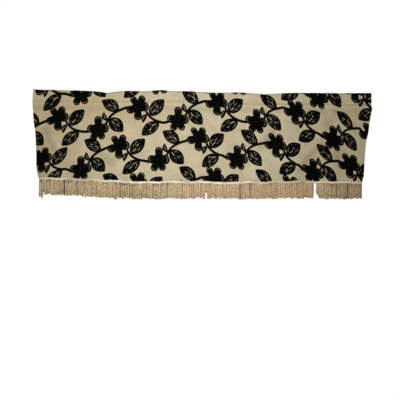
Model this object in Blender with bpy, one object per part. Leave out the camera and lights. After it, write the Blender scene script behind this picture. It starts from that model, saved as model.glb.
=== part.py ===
"""Window valance: one flat-hanging cloth panel with a corded fringe along its foot.

The cloth is folded to the back along its top edge and stitched down, which leaves a
pocket for a rod, open at both ends. Its sides and its foot are turned in as hems. The
fringe is in two lengths, a long one and a short one. Each is a woven tape with the
cords hanging from it, sewn over the foot hem on the front.

Metres, +Z up, +X to the right. The front faces -Y. The origin is the middle of the top
edge, on the crown of the pocket's fold. The tables below are in millimetres, with
drops measured down from the origin.
"""

import math
import random
from collections import namedtuple

import bmesh
import bpy
from mathutils import Color, Vector

MM = 0.001

# ---------------------------------------------------------------- cloth
PLY = 1.2                  # thickness of one layer of cloth
HEM_PLIES = 2              # layers in a hem
HEM_STEP = 0.8             # how softly a hem's cut edge steps down to one layer
SIDE_HEM = 18.0            # width of each side hem
FOOT_HEM = 25.0            # height of the foot hem
CLOTH_END = 3.2            # how far the cloth reaches below the middle of the tape

# ---------------------------------------------------------------- rod pocket
POCKET_SEAM = 46.0         # stitch line below the top edge
POCKET_TURN = 66.0         # lower edge of the turned-down cloth
POCKET_GAP = 16.0          # clear depth of the pocket
FRONT_SHARE = 0.25         # share of that depth by which the front bulges
POCKET_FULL = 22.0         # drop down to which the pocket keeps its whole depth
SEAM_BAND = 1.4            # height of the joined stitch line
CROWN_RADIUS = POCKET_GAP / 2 + PLY
SHEET_Y = -CROWN_RADIUS + FRONT_SHARE * POCKET_GAP

# ---------------------------------------------------------------- fringe
TAPE_DROP = 345.0          # where the tape's two outer ends lie below the top
TAPE_HEIGHT = 9.4
TAPE_DEPTH = 2.2
TAPE_CLEAR = 0.6           # from the cloth's front to the tape's back
TAPE_JOINT = 0.5           # between the two lengths of tape
CORD_PITCH = 4.5
CORD_WIDTH = 3.75
CORD_TIP_WIDTH = 3.4
CORD_TIP_DEPTH = 3.0
CORD_UNEVEN = 1.7          # how far a cord's length strays from the tip line
CORD_SWAY = 1.5            # how far groups of cords swing sideways at their tips
CORD_STRAY = 0.12          # how far a single cord strays from its group
CORD_BACKWARD = 0.6        # how far a cord's tip may hang back or forward
CORD_FORWARD = 0.9
CORD_THINNEST = 0.92       # thinnest cord as a share of the usual width
SWAY_LENGTH = 95.0
FRINGE_SEED = 17

# ---------------------------------------------------------------- mesh steps
PANEL_COLUMNS = 70
SHEET_ROWS = 9
CROWN_STEPS = 6
FLAT_ROWS = (18.0, 28.0, 36.0, 42.0)     # drops of the rows in the pocket's two walls

# How the side edges run: drop below the top, place of the left and of the right edge.
Edge = namedtuple("Edge", "drop left right")
SIDE_EDGES = [
    Edge(0, -659.5, 660.0),
    Edge(45, -663.0, 660.5),
    Edge(60, -662.5, 663.5),
    Edge(75, -661.0, 660.5),
    Edge(95, -660.0, 657.0),
    Edge(125, -658.0, 653.5),
    Edge(155, -653.0, 650.0),
    Edge(185, -651.0, 643.5),
    Edge(250, -649.0, 639.0),
    Edge(300, -648.5, 637.5),
    Edge(325, -644.0, 636.0),
    Edge(345, -638.5, 630.5),
    Edge(420, -636.5, 625.0),
]

# A line across the valance: place along it, height.
Point = namedtuple("Point", "at height")
TOP_LINE = [
    Point(-664, 7.0), Point(-640, 4.5), Point(-580, 4.0), Point(-520, 3.0),
    Point(-440, 1.0), Point(-400, -2.0), Point(-370, -5.5), Point(-345, -1.5),
    Point(-300, 2.5), Point(-230, 2.0), Point(-185, 5.0), Point(-155, 7.0),
    Point(-130, 4.0), Point(-45, 3.0), Point(0, 0.0), Point(35, -1.5),
    Point(145, 0.0), Point(195, -2.5), Point(240, -5.0), Point(310, -1.5),
    Point(380, 0.5), Point(570, 1.0), Point(664, 2.5),
]
TAPE_LINE = [
    Point(-640, -343.5), Point(-600, -342.0), Point(-560, -344.5), Point(-520, -342.0),
    Point(-470, -348.0), Point(-425, -345.5), Point(-385, -350.5), Point(-330, -351.0),
    Point(-260, -355.5), Point(-210, -354.0), Point(-165, -355.0), Point(-135, -351.0),
    Point(-45, -353.5), Point(0, -351.0), Point(75, -355.0), Point(145, -353.0),
    Point(190, -349.0), Point(245, -353.5), Point(290, -346.5), Point(332, -350.5),
    Point(385, -345.0), Point(450, -349.0), Point(475, -346.0), Point(510, -349.5),
    Point(550, -346.5), Point(640, -350.5),
]
TIP_LINE = [
    Point(-640, -413.5), Point(-626, -413.5), Point(-612, -407.5), Point(-490, -407.0),
    Point(-400, -416.5), Point(-300, -419.0), Point(-110, -418.0), Point(-10, -415.0),
    Point(50, -416.0), Point(150, -416.0), Point(280, -413.0), Point(330, -411.0),
    Point(355, -413.5), Point(430, -410.5), Point(470, -410.5), Point(500, -413.0),
    Point(640, -412.5),
]

# Soft folds that open towards the foot: place at the foot, half width, depth
# (behind the sheet where positive), sideways lean over the whole height.
Fold = namedtuple("Fold", "at half depth lean")
FOLDS = [
    Fold(-585, 42, -4.5, 10),
    Fold(-530, 34, 5.5, 18),
    Fold(-462, 44, -5.0, 0),
    Fold(-384, 38, 5.0, -12),
    Fold(-318, 36, -4.0, 0),
    Fold(-262, 34, 4.5, 8),
    Fold(-196, 40, -4.5, 0),
    Fold(-134, 34, 5.0, 0),
    Fold(-66, 42, -4.0, -6),
    Fold(14, 34, 5.5, 0),
    Fold(84, 40, -4.5, 0),
    Fold(160, 40, 4.5, 10),
    Fold(236, 42, -4.5, 0),
    Fold(304, 34, 3.5, -30),
    Fold(372, 34, -4.0, -20),
    Fold(440, 36, 5.5, -14),
    Fold(504, 34, -4.0, 0),
    Fold(562, 30, 6.0, 0),
]

# Short soft creases: both ends as place and drop, half width, depth.
Crease = namedtuple("Crease", "at_a drop_a at_b drop_b half depth")
CREASES = [
    Crease(-612, 172, -578, 228, 16, 3.0),
    Crease(-500, 180, -498, 240, 14, 1.5),
    Crease(-410, 246, -356, 282, 22, 2.5),
    Crease(474, 68, 492, 116, 11, 1.8),
    Crease(518, 66, 494, 116, 11, 1.8),
    Crease(466, 208, 384, 302, 20, 3.0),
    Crease(524, 228, 526, 256, 14, 1.8),
    Crease(596, 88, 600, 140, 13, 1.6),
]
END_CURL = 64.0            # width of the ends that curl back
END_CURL_DEPTH = 21.0      # how far they curl back at the foot
END_CURL_FALL = 300.0      # height over which the curl grows
FOLD_START = 40.0          # drop at which the folds begin to open
FOLD_TOP_SHARE = 0.06      # what is left of them along the rod

# Places where the cords stand apart: middle and width of the parting.
Parting = namedtuple("Parting", "at width")
PARTINGS = [
    Parting(-621, 3.0), Parting(-540, 2.2), Parting(-491, 1.6), Parting(-463, 1.6),
    Parting(-378, 1.8), Parting(-321, 1.6), Parting(-270, 1.8), Parting(-138, 2.2),
    Parting(-78, 1.6), Parting(15, 3.6), Parting(149, 1.8), Parting(188, 1.6),
    Parting(370, 1.8), Parting(522, 2.0), Parting(567, 3.0),
]
FRINGE_GAP_LEFT = 436.5
FRINGE_GAP_RIGHT = 445.0
FRINGE_JOINT = 441.0
FRINGE_INSET = 0.6         # from the cloth's side edge to the end of the tape

SHARP_ANGLE = 35.0         # edges turned by more than this are shaded sharp

Finish = namedtuple("Finish", "rgb roughness")
FINISHES = {
    "linen_cloth": Finish((172, 160, 130), 0.92),
    "fringe_yarn": Finish((163, 143, 108), 0.80),
}


# ---------------------------------------------------------------- curves
def smooth_step(value):
    """0 below 0, 1 above 1 and an even rise between."""
    value = min(max(value, 0.0), 1.0)
    return value * value * (3.0 - 2.0 * value)


def through(positions, heights, at):
    """The height at a place on a smooth line through the given points."""
    last = len(positions) - 1
    if at <= positions[0]:
        return heights[0]
    if at >= positions[last]:
        return heights[last]
    here = max(i for i in range(last) if positions[i] <= at)

    def slope(i):
        low, high = max(i - 1, 0), min(i + 1, last)
        return (heights[high] - heights[low]) / (positions[high] - positions[low])

    span = positions[here + 1] - positions[here]
    t = (at - positions[here]) / span
    rise = (2 * t**3 - 3 * t**2 + 1) * heights[here]
    rise += (3 * t**2 - 2 * t**3) * heights[here + 1]
    rise += (t**3 - 2 * t**2 + t) * span * slope(here)
    rise += (t**3 - t**2) * span * slope(here + 1)
    return rise


def line_height(line, at):
    return through([p.at for p in line], [p.height for p in line], at)


def side_places(drop):
    """The places of the left and the right edge at a drop."""
    drops = [edge.drop for edge in SIDE_EDGES]
    left = through(drops, [edge.left for edge in SIDE_EDGES], drop)
    right = through(drops, [edge.right for edge in SIDE_EDGES], drop)
    return left, right


# ---------------------------------------------------------------- how the cloth hangs
def folds_depth(at, drop):
    """How far the soft folds carry the cloth back at a place."""
    foot = -line_height(TAPE_LINE, at)
    fall = (drop - FOLD_START) / (foot - FOLD_START)
    opening = FOLD_TOP_SHARE + (1.0 - FOLD_TOP_SHARE) * smooth_step(fall)
    depth = 0.0
    for fold in FOLDS:
        middle = fold.at + fold.lean * (1.0 - min(fall, 1.0))
        depth += fold.depth * math.exp(-((at - middle) / fold.half) ** 2)
    return depth * opening


def creases_depth(at, drop):
    """How far the short creases press the cloth back at a place."""
    depth = 0.0
    for crease in CREASES:
        start = Vector((crease.at_a, crease.drop_a))
        along = Vector((crease.at_b, crease.drop_b)) - start
        share = (Vector((at, drop)) - start).dot(along) / along.length_squared
        nearest = start + along * min(max(share, 0.0), 1.0)
        off = (Vector((at, drop)) - nearest).length / crease.half
        depth += crease.depth * math.exp(-off * off)
    return depth


def ends_depth(at, drop):
    """How far the valance's two ends curl back at a place."""
    left, right = side_places(drop)
    inside = min(at - left, right - at)
    curl = min(max(1.0 - inside / END_CURL, 0.0), 1.0)
    return END_CURL_DEPTH * curl * curl * smooth_step((drop - FOLD_START) / END_CURL_FALL)


def pocket_gap(drop):
    """Clear depth of the rod pocket at a drop."""
    if drop >= POCKET_SEAM:
        return 0.0
    closing = (POCKET_SEAM - drop) / (POCKET_SEAM - POCKET_FULL)
    return POCKET_GAP * math.sin(math.pi / 2 * min(closing, 1.0))


def front_y(at, drop):
    """Y of the cloth's front face, from the foot up to the pocket's crown."""
    y = SHEET_Y - FRONT_SHARE * pocket_gap(drop)
    return y + folds_depth(at, drop) + creases_depth(at, drop) + ends_depth(at, drop)


# ---------------------------------------------------------------- the panel's section
Row = namedtuple("Row", "place drop plies")


def sheet_rows(foot):
    """Rows of the hanging sheet, from its foot up to the stitch line."""
    hem_top = foot - FOOT_HEM
    rows = [
        Row("front", foot, HEM_PLIES),
        Row("front", foot - FOOT_HEM / 2, HEM_PLIES),
        Row("front", hem_top + HEM_STEP / 2, HEM_PLIES),
        Row("front", hem_top - HEM_STEP / 2, 1),
    ]
    top = POCKET_TURN + HEM_STEP / 2
    for step in range(1, SHEET_ROWS + 1):
        drop = hem_top + (top - hem_top) * step / SHEET_ROWS
        rows.append(Row("front", drop, 1))
    rows.append(Row("front", POCKET_TURN - HEM_STEP / 2, HEM_PLIES))
    rows.append(Row("front", POCKET_SEAM + SEAM_BAND, HEM_PLIES))
    rows.append(Row("front", POCKET_SEAM, 1))
    return rows


def pocket_rows():
    """Rows of the pocket: up its front, over the crown and down its back."""
    rows = [Row("front", drop, 1) for drop in reversed(FLAT_ROWS)]
    for step in range(CROWN_STEPS + 1):
        rows.append(Row("crown", step / CROWN_STEPS, 1))
    return rows + [Row("back", drop, 1) for drop in FLAT_ROWS]


def outer_point(row, share):
    """A row's point on the cloth's outer face, at a share of the width."""
    if row.place == "crown":
        turn = math.pi * row.drop
        drop = CROWN_RADIUS * (1.0 - math.sin(turn))
    else:
        drop = row.drop
    left, right = side_places(drop)
    at = left + (right - left) * share
    z = line_height(TOP_LINE, at) * (1.0 - smooth_step(drop / POCKET_TURN)) - drop
    hang = front_y(at, drop)
    if row.place == "crown":
        hang += CROWN_RADIUS * (1.0 - math.cos(turn))
    if row.place == "back":
        hang += pocket_gap(drop) + 2 * PLY
    return Vector((at, hang, z))


def panel_section(share):
    """Outer and inner points of the cloth across one upright section."""
    left, right = side_places(POCKET_TURN)
    foot = CLOTH_END - line_height(TAPE_LINE, left + (right - left) * share)
    rows = sheet_rows(foot) + pocket_rows()
    outer = [outer_point(row, share) for row in rows]
    in_side_hem = min(share, 1.0 - share) * (right - left) < SIDE_HEM
    inner = []
    for i, row in enumerate(rows):
        along = outer[min(i + 1, len(rows) - 1)] - outer[max(i - 1, 0)]
        inward = Vector((0.0, along.z, -along.y)).normalized()
        plies = HEM_PLIES if in_side_hem else row.plies
        inner.append(outer[i] + inward * plies * PLY)
    return outer, inner


def panel_shares():
    """Shares of the width at which the panel has a section."""
    left, right = side_places(POCKET_TURN)
    width = right - left
    edge = [0.0, SIDE_HEM / 2, SIDE_HEM - HEM_STEP / 2, SIDE_HEM + HEM_STEP / 2]
    start = edge[-1]
    step = (width - 2 * start) / PANEL_COLUMNS
    middle = [start + step * i for i in range(1, PANEL_COLUMNS)]
    places = edge + middle + [width - place for place in reversed(edge)]
    return [place / width for place in places]


def build_panel():
    """Loft the cloth from side to side, with the pocket's back joined at its seam."""
    mesh = bmesh.new()
    seam = len(sheet_rows(0.0)) - 2           # the row just below the stitch line
    sections = []
    for share in panel_shares():
        outer, inner = panel_section(share)
        outer = [mesh.verts.new(point * MM) for point in outer]
        inner = [mesh.verts.new(point * MM) for point in inner]
        sections.append((outer + [inner[seam]], inner + [inner[seam + 1]]))

    for (outer, inner), (next_outer, next_inner) in zip(sections, sections[1:]):
        for i in range(len(outer) - 1):
            mesh.faces.new((outer[i], next_outer[i], next_outer[i + 1], outer[i + 1]))
            if i != seam:
                mesh.faces.new((inner[i], inner[i + 1], next_inner[i + 1], next_inner[i]))
        mesh.faces.new((outer[0], inner[0], next_inner[0], next_outer[0]))

    for (outer, inner), turn in ((sections[0], 1), (sections[-1], -1)):
        for i in range(len(outer) - 1):
            end = (outer[i], outer[i + 1], inner[i + 1], inner[i])
            mesh.faces.new(end[::turn])
    return mesh


# ---------------------------------------------------------------- the fringe
def cord_places(left, right, randoms):
    """Left and right side of every cord's root between two places."""
    places = []
    at = left
    while at + CORD_WIDTH <= right:
        parting = next((p for p in PARTINGS if abs(p.at - at) < CORD_PITCH / 2), None)
        if parting and places:
            at = max(at, places[-1][1] + parting.width)
        width = CORD_WIDTH * randoms.uniform(CORD_THINNEST, 1.0)
        if at + width <= right:
            places.append((at, at + width))
        at += CORD_PITCH
    return places


def cloth_y(at, drop, shares):
    """Y of the panel's front between its two nearest sections."""
    left, right = side_places(drop)
    share = (at - left) / (right - left)
    after = sum(edge < share for edge in shares[1:-1]) + 1
    part = (share - shares[after - 1]) / (shares[after] - shares[after - 1])
    near, far = (left + (right - left) * shares[i] for i in (after - 1, after))
    return front_y(near, drop) * (1.0 - part) + front_y(far, drop) * part


def tape_corners(mesh, at, shares):
    """The tape's four corners at a place, clear in front of the cloth."""
    middle = line_height(TAPE_LINE, at)
    corners = []
    for y, z in ((-1, 1), (-1, -1), (0, -1), (0, 1)):
        height = middle + z * TAPE_HEIGHT / 2
        back = cloth_y(at, -height, shares) - TAPE_CLEAR
        point = Vector((at, back + y * TAPE_DEPTH, height))
        corners.append(mesh.verts.new(point * MM))
    return corners


def hang_cord(face, left, right, randoms):
    """Move a drawn-out root face down to the cord's tip."""
    middle = (left + right) / 2
    stray = randoms.uniform(-CORD_STRAY, CORD_STRAY)
    sway = CORD_SWAY * math.sin(middle / SWAY_LENGTH) + stray
    tip = line_height(TIP_LINE, middle) + randoms.uniform(-CORD_UNEVEN, CORD_UNEVEN)
    forward = randoms.uniform(-CORD_BACKWARD, CORD_FORWARD)
    centre = face.calc_center_median()
    for corner in face.verts:
        side = math.copysign(CORD_TIP_WIDTH / 2, corner.co.x - centre.x)
        depth = math.copysign(CORD_TIP_DEPTH / 2, corner.co.y - centre.y)
        corner.co.x = centre.x + (side + sway) * MM
        corner.co.y = centre.y + (depth - forward) * MM
        corner.co.z = tip * MM


def build_fringe(tape_left, tape_right, cords_left, cords_right, seed):
    """One length of tape with its cords drawn out of its lower edge."""
    randoms = random.Random(seed)
    mesh = bmesh.new()
    cords = cord_places(cords_left, cords_right, randoms)
    places = [tape_left]
    for left, right in cords:
        places += [left, right]
    places.append(tape_right)

    shares = panel_shares()
    corners = [tape_corners(mesh, at, shares) for at in places]
    lower_faces = []
    for here, after in zip(corners, corners[1:]):
        for i in range(4):
            j = (i + 1) % 4
            face = mesh.faces.new((here[i], here[j], after[j], after[i]))
            if i == 1:
                lower_faces.append(face)
    mesh.faces.new(reversed(corners[0]))
    mesh.faces.new(corners[-1])

    roots = lower_faces[1::2]
    drawn = bmesh.ops.extrude_discrete_faces(mesh, faces=roots)["faces"]
    drawn = sorted(drawn, key=lambda face: face.calc_center_median().x)
    for face, (left, right) in zip(drawn, cords):
        hang_cord(face, left, right, randoms)
    return mesh


# ---------------------------------------------------------------- materials and nodes
def make_material(name):
    """A plain finish with the colour and roughness of its yarn."""
    finish = FINISHES[name]
    material = bpy.data.materials.new(name)
    material.use_nodes = True
    shader = material.node_tree.nodes["Principled BSDF"]
    colour = Color([channel / 255 for channel in finish.rgb]).from_srgb_to_scene_linear()
    shader.inputs["Base Color"].default_value = (*colour, 1.0)
    shader.inputs["Roughness"].default_value = finish.roughness
    shader.inputs["Metallic"].default_value = 0.0
    return material


def place(name, mesh, material, collection):
    """Turn a built mesh into a named object of the valance."""
    data = bpy.data.meshes.new(name)
    mesh.to_mesh(data)
    mesh.free()
    data.materials.append(material)
    data.shade_smooth()
    data.set_sharp_from_angle(angle=math.radians(SHARP_ANGLE))
    piece = bpy.data.objects.new(name, data)
    collection.objects.link(piece)
    return piece


def main():
    for old in list(bpy.data.objects):
        bpy.data.objects.remove(old, do_unlink=True)
    collection = bpy.data.collections.new("window_valance")
    bpy.context.scene.collection.children.link(collection)
    linen = make_material("linen_cloth")
    yarn = make_material("fringe_yarn")

    place("panel", build_panel(), linen, collection)

    left, right = side_places(TAPE_DROP)
    long_end = FRINGE_JOINT - TAPE_JOINT / 2
    short_start = FRINGE_JOINT + TAPE_JOINT / 2
    long_fringe = build_fringe(
        left + FRINGE_INSET, long_end, left + 2 * FRINGE_INSET, FRINGE_GAP_LEFT, FRINGE_SEED)
    short_fringe = build_fringe(
        short_start, right - FRINGE_INSET, FRINGE_GAP_RIGHT, right - 2 * FRINGE_INSET,
        FRINGE_SEED + 1)
    place("fringe_long", long_fringe, yarn, collection)
    place("fringe_short", short_fringe, yarn, collection)


main()
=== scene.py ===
"""Looks of a window valance: beige cloth with black flock vines over a corded fringe.

The cloth hangs flat from its rod pocket. Black flowers, leaves and vines stand up a
little from its face. An ivory woven tape is sewn over the foot hem, with tan twisted
cords hanging from it. Sizes in the tables are millimetres, and drops run down from
the top edge. The front faces -Y.
"""

from __future__ import annotations

import logging
import math
import random
from dataclasses import dataclass, field
from enum import Enum
from typing import NamedTuple, Optional, Sequence

import bpy
import numpy as np
from mathutils import Color, Euler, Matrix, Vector, geometry

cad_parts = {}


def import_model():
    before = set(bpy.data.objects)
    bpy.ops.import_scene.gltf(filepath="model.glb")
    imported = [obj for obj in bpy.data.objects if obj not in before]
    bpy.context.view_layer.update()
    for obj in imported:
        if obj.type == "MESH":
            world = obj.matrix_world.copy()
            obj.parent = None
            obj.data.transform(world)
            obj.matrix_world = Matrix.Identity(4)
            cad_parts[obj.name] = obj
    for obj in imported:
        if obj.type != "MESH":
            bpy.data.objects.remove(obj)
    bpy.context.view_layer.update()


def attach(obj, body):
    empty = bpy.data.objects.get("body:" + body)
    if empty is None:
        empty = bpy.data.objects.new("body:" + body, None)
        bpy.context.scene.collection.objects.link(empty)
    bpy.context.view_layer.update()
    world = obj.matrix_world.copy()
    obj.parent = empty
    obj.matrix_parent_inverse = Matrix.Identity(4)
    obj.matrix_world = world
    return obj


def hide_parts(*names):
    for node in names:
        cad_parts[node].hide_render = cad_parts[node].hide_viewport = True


LOG = logging.getLogger("valance")
MM = 0.001
BODY = "root"
SHARP_ANGLE = 40.0          # edges turned by more than this many degrees look sharp
Place = tuple[float, float]
Tone = tuple[float, ...]
Socket = bpy.types.NodeSocket


# ---------------------------------------------------------------- tables
class Edge(NamedTuple):
    """Where the two side edges run at a drop below the top."""

    drop: float
    left: float
    right: float


class Fold(NamedTuple):
    """A soft fold that opens towards the foot; positive depths go back."""

    at: float
    half: float
    depth: float
    lean: float


class Crease(NamedTuple):
    """A short soft crease between two places."""

    at_a: float
    drop_a: float
    at_b: float
    drop_b: float
    half: float
    depth: float


class Parting(NamedTuple):
    """A place where the cords stand apart.

    Its dark, up to 1, is the painted shadow on the cords behind it; below zero it paints them
    lighter than the shade they hang in. The cords behind it close it down to a drop, and
    they may be painted by turns dark and light, as light and shade on twisted plies.
    """

    at: float
    width: float
    dark: float
    closed_to: float = 500.0
    dashed: bool = False


class Root(NamedTuple):
    """The sides of a cord's root, and the parting to its left."""

    left: float
    right: float
    parting: Optional[Parting]


class OddCord(NamedTuple):
    """A cord that ends at its own height, unlike those beside it."""

    at: float
    tip: float


class Bloom(NamedTuple):
    """The middle of one flower, and how much more than usual the print falls there."""

    at: float
    drop: float
    fall: float = 0.0


class AgingAndShade(NamedTuple):
    """A soft patch painted yellower and darker, partly yellowing and partly painted shade, and below
    zero paler, as painted light.
    """

    at: float
    drop: float
    half_at: float
    half_drop: float
    share: float


class Tint(Enum):
    """Which painted tone a seam line takes, one of three: painted shade, a painted highlight, grey
    painted shade.
    """

    PAINTED_SHADE = "darker_tone"
    PAINTED_HIGHLIGHT = "painted_light_tone"
    PAINTED_GREY_SHADE = "grey_painted_shade"


class SeamShadeLine(NamedTuple):
    """A line along the pocket's seam where the cloth curves, painted in one of the tints: shade,
    highlight, grey shade.
    """

    drop: float
    half: float
    share: float
    tint: Tint


SIDE_EDGES = tuple(Edge(*row) for row in (
    (0, -659.5, 660.0), (45, -663.0, 660.5), (60, -662.5, 663.5), (75, -661.0, 660.5),
    (95, -660.0, 657.0), (125, -658.0, 653.5), (155, -653.0, 650.0), (185, -651.0, 643.5),
    (250, -649.0, 639.0), (300, -648.5, 637.5), (325, -644.0, 636.0), (345, -638.5, 630.5),
    (420, -636.5, 625.0),
))
TOP_LINE = (
    (-664, 7.0), (-640, 4.5), (-580, 4.0), (-520, 3.0),
    (-440, 1.0), (-400, -2.0), (-370, -5.5), (-345, -1.5),
    (-300, 2.5), (-230, 2.0), (-185, 5.0), (-155, 7.0),
    (-130, 4.0), (-45, 3.0), (0, 0.0), (35, -1.5),
    (145, 0.0), (195, -2.5), (240, -5.0), (310, -1.5),
    (380, 0.5), (570, 1.0), (664, 2.5),
)
TAPE_LINE = (
    (-640, -343.5), (-600, -342.0), (-560, -344.5), (-520, -342.0),
    (-470, -348.0), (-425, -345.5), (-385, -350.5), (-330, -351.0),
    (-260, -355.5), (-210, -354.0), (-165, -355.0), (-135, -351.0),
    (-45, -353.5), (0, -351.0), (75, -355.0), (145, -353.0),
    (190, -349.0), (245, -353.5), (290, -346.5), (332, -350.5),
    (385, -345.0), (450, -349.0), (475, -346.0), (510, -349.5),
    (550, -346.5), (640, -350.5),
)
TIP_LINE = (
    (-640, -413.5), (-626, -413.5), (-612, -407.5), (-490, -407.0),
    (-400, -416.5), (-300, -419.0), (-110, -418.0), (-10, -415.0),
    (50, -416.0), (150, -416.0), (280, -413.0), (330, -411.0),
    (355, -413.5), (430, -410.5), (470, -410.5), (500, -413.0),
    (640, -412.5),
)
FOLDS = tuple(Fold(*row) for row in (
    (-585, 42, -4.5, 10), (-530, 34, 5.5, 18), (-462, 44, -5.0, 0), (-384, 38, 5.0, -12),
    (-318, 36, -4.0, 0), (-262, 34, 4.5, 8), (-196, 40, -4.5, 0), (-134, 34, 5.0, 0),
    (-66, 42, -4.0, -6), (14, 34, 5.5, 0), (84, 40, -4.5, 0), (160, 40, 4.5, 10),
    (236, 42, -4.5, 0), (304, 34, 3.5, -30), (372, 34, -4.0, -20), (440, 36, 5.5, -14),
    (504, 34, -4.0, 0), (562, 30, 6.0, 0),
))
# Short soft creases in the cloth's shape; the cloth's finish also paints shade along them.
CREASES = tuple(Crease(*row) for row in (
    (-616, 148, -578, 236, 13, 4.6), (-500, 180, -498, 240, 14, 1.5),
    (-410, 240, -352, 280, 20, 3.4), (190, 258, 156, 308, 12, 3.0), (288, 142, 232, 216, 12, 3.4),
    (474, 68, 492, 116, 11, 2.2), (522, 72, 486, 158, 12, 3.2), (470, 190, 386, 300, 15, 4.4),
    (530, 212, 536, 262, 14, 3.0), (596, 88, 600, 140, 13, 1.6),
))
PARTINGS = tuple(Parting(*row) for row in (
    (-616, 3.0, -0.3, 396.0), (-594, 1.2, 0.5), (-536, 3.6, 1.0), (-486, 2.0, 0.8),
    (-457, 1.6, 0.2, 400.0), (-430, 1.4, 0.5), (-373, 1.4, 0.4), (-316, 1.8, 0.6),
    (-268, 1.8, 0.6), (-190, 1.4, 0.5), (-134, 3.2, 1.0), (-75, 1.8, 0.5), (-32, 1.2, 0.4),
    (18, 5.4, 0.0, 393.0, True), (150, 3.4, 1.0), (190, 1.6, 0.5), (296, 1.4, 0.4),
    (373, 1.8, 0.6), (527, 3.0, 0.9), (570, 5.0, 1.0), (578, 1.6, 0.6),
))
ODD_CORDS = tuple(OddCord(*row) for row in (
    (-623, -421.0), (-455, -417.5), (-510, -411.0), (68, -419.5), (449, -392.0), (453, -399.0),
    (557, -418.0),
))
# Lighter and darker stretches of yarn across the fringe: painted light and shade, darker at the
# centre-left and the right end.
CORD_TONES = (
    (-620, 0.03), (-540, -0.04), (-400, 0.0), (-280, -0.08),
    (-130, 0.01), (60, 0.0), (240, 0.0), (460, 0.02), (600, -0.07),
)
# How much darker and yellower the tape is along its length.
TAPE_DARKENING = (
    (-640, 0.0), (-550, 0.08), (-505, 0.34), (-464, 0.62),
    (-425, 0.46), (-386, 0.0), (-300, 0.12), (-230, 0.0), (180, 0.0),
    (250, 0.40), (400, 0.5), (450, 0.2), (510, 0.0), (550, 0.2),
    (640, 0.2),
)
# Heights on the tape's face where its relief changes, as shares of its half height.
TAPE_FACE = (-1.0, -0.94, -0.78, -0.62, -0.2, 0.2, 0.62, 0.78, 0.94, 1.0)
# Patches painted yellower and darker at the curled left end and along folds, partly yellowing and
# partly painted shade; below zero, paler patches of painted light.
AGED_AND_SHADED = tuple(AgingAndShade(*row) for row in (
    (-640, 160, 110, 260, 0.32), (-620, 255, 55, 36, 0.50), (-420, 70, 160, 75, 0.42),
    (-170, 105, 130, 45, 0.28), (-400, 200, 150, 70, 0.14), (-470, 305, 80, 30, 0.22),
    (610, 80, 60, 60, 0.26), (450, 270, 60, 40, 0.22), (545, 240, 38, 36, 0.40),
    (-538, 288, 36, 15, 0.40), (240, 280, 110, 60, -0.34), (250, 90, 90, 45, -0.24),
))
# Where the two lengths of fringe meet, and how far their ends stay inside the sides.
LONG_TAPE_END, SHORT_TAPE_START = 440.75, 441.25
LONG_CORDS_END, SHORT_CORDS_START = 439.6, 447.6
TAPE_INSET, CORD_INSET = 0.6, 1.2
# Painted shade just above the seam, a painted highlight on the ridge below it and a broad grey band of
# painted shade under the pocket.
SEAM_SHADE_LINES = (
    SeamShadeLine(42.0, 6.5, 0.60, Tint.PAINTED_SHADE),
    SeamShadeLine(51.5, 5.5, 0.45, Tint.PAINTED_HIGHLIGHT),
    SeamShadeLine(68.0, 17.0, 0.55, Tint.PAINTED_GREY_SHADE),
)
# How far the painted seam lines waver up and down across the width.
SEAM_SHADE_WAVE = (
    (-640, -0.6), (-400, -1.7), (-220, -2.0), (-40, -3.4), (150, 1.5),
    (350, 1.3), (640, 2.2),
)
PRINT_FALL = (
    (-560, 0.0), (-280, 0.05), (-20, 0.15), (60, 0.20),
    (290, 0.32), (365, 0.36), (660, 0.36),
)
VINES = tuple(tuple(Bloom(*row) for row in vine) for vine in (
    ((-636, -30, -0.09), (-473, 9), (-321, -84), (-165, -30), (-7, -111),
     (143, -36), (292, -89), (450, 14), (595, -14), (747, 55)),
    ((-715, 203), (-563, 104), (-406, 146), (-251, 60), (-94, 107),
     (57, 39), (212, 113), (363, 72), (512, 177, 0.07), (658, 159)),
    ((-627, 267, -0.16), (-472, 303), (-324, 212), (-168, 265), (-14, 179),
     (138, 256), (289, 201), (435, 306, 0.07), (578, 279), (718, 340)),
    ((-715, 480), (-558, 409), (-400, 438), (-251, 358), (-101, 405),
     (48, 335), (196, 410), (346, 366), (491, 475), (640, 450)),
))
VINE_STARTS_DOWN = (True, False, True, False)


# ---------------------------------------------------------------- how the cloth hangs
def smooth_step(value: np.ndarray) -> np.ndarray:
    """0 below 0, 1 above 1 and an even rise between."""
    value = np.clip(value, 0.0, 1.0)
    return value * value * (3.0 - 2.0 * value)


@dataclass(frozen=True)
class Line:
    """A smooth line through a few points.

    Args:
        positions: Where the points stand, in rising order.
        heights: The line's height at each of them.
    """

    positions: tuple[float, ...]
    heights: tuple[float, ...]

    def __call__(self, at: np.ndarray) -> np.ndarray:
        """Height of the line.

        Args:
            at: Places along the line.

        Returns:
            The heights there; past its ends the line runs level.
        """
        x = np.array(self.positions, float)
        y = np.array(self.heights, float)
        low = np.maximum(np.arange(len(x)) - 1, 0)
        high = np.minimum(np.arange(len(x)) + 1, len(x) - 1)
        slope = (y[high] - y[low]) / (x[high] - x[low])
        at = np.clip(at, x[0], x[-1])
        i = np.clip(np.searchsorted(x, at, side="right") - 1, 0, len(x) - 2)
        span = x[i + 1] - x[i]
        t = (at - x[i]) / span
        start = (2 * t**3 - 3 * t**2 + 1) * y[i] + (t**3 - 2 * t**2 + t) * span * slope[i]
        end = (3 * t**2 - 2 * t**3) * y[i + 1] + (t**3 - t**2) * span * slope[i + 1]
        return start + end


def across(points: Sequence[Place]) -> Line:
    """A smooth line from a table of positions and heights."""
    return Line(*zip(*points))


class ClothFace(Enum):
    """The stretches of the cloth's printed side."""

    FRONT = "front"
    FOOT_HEM = "foot hem"
    LEFT_HEM = "left hem"
    RIGHT_HEM = "right hem"


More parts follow.
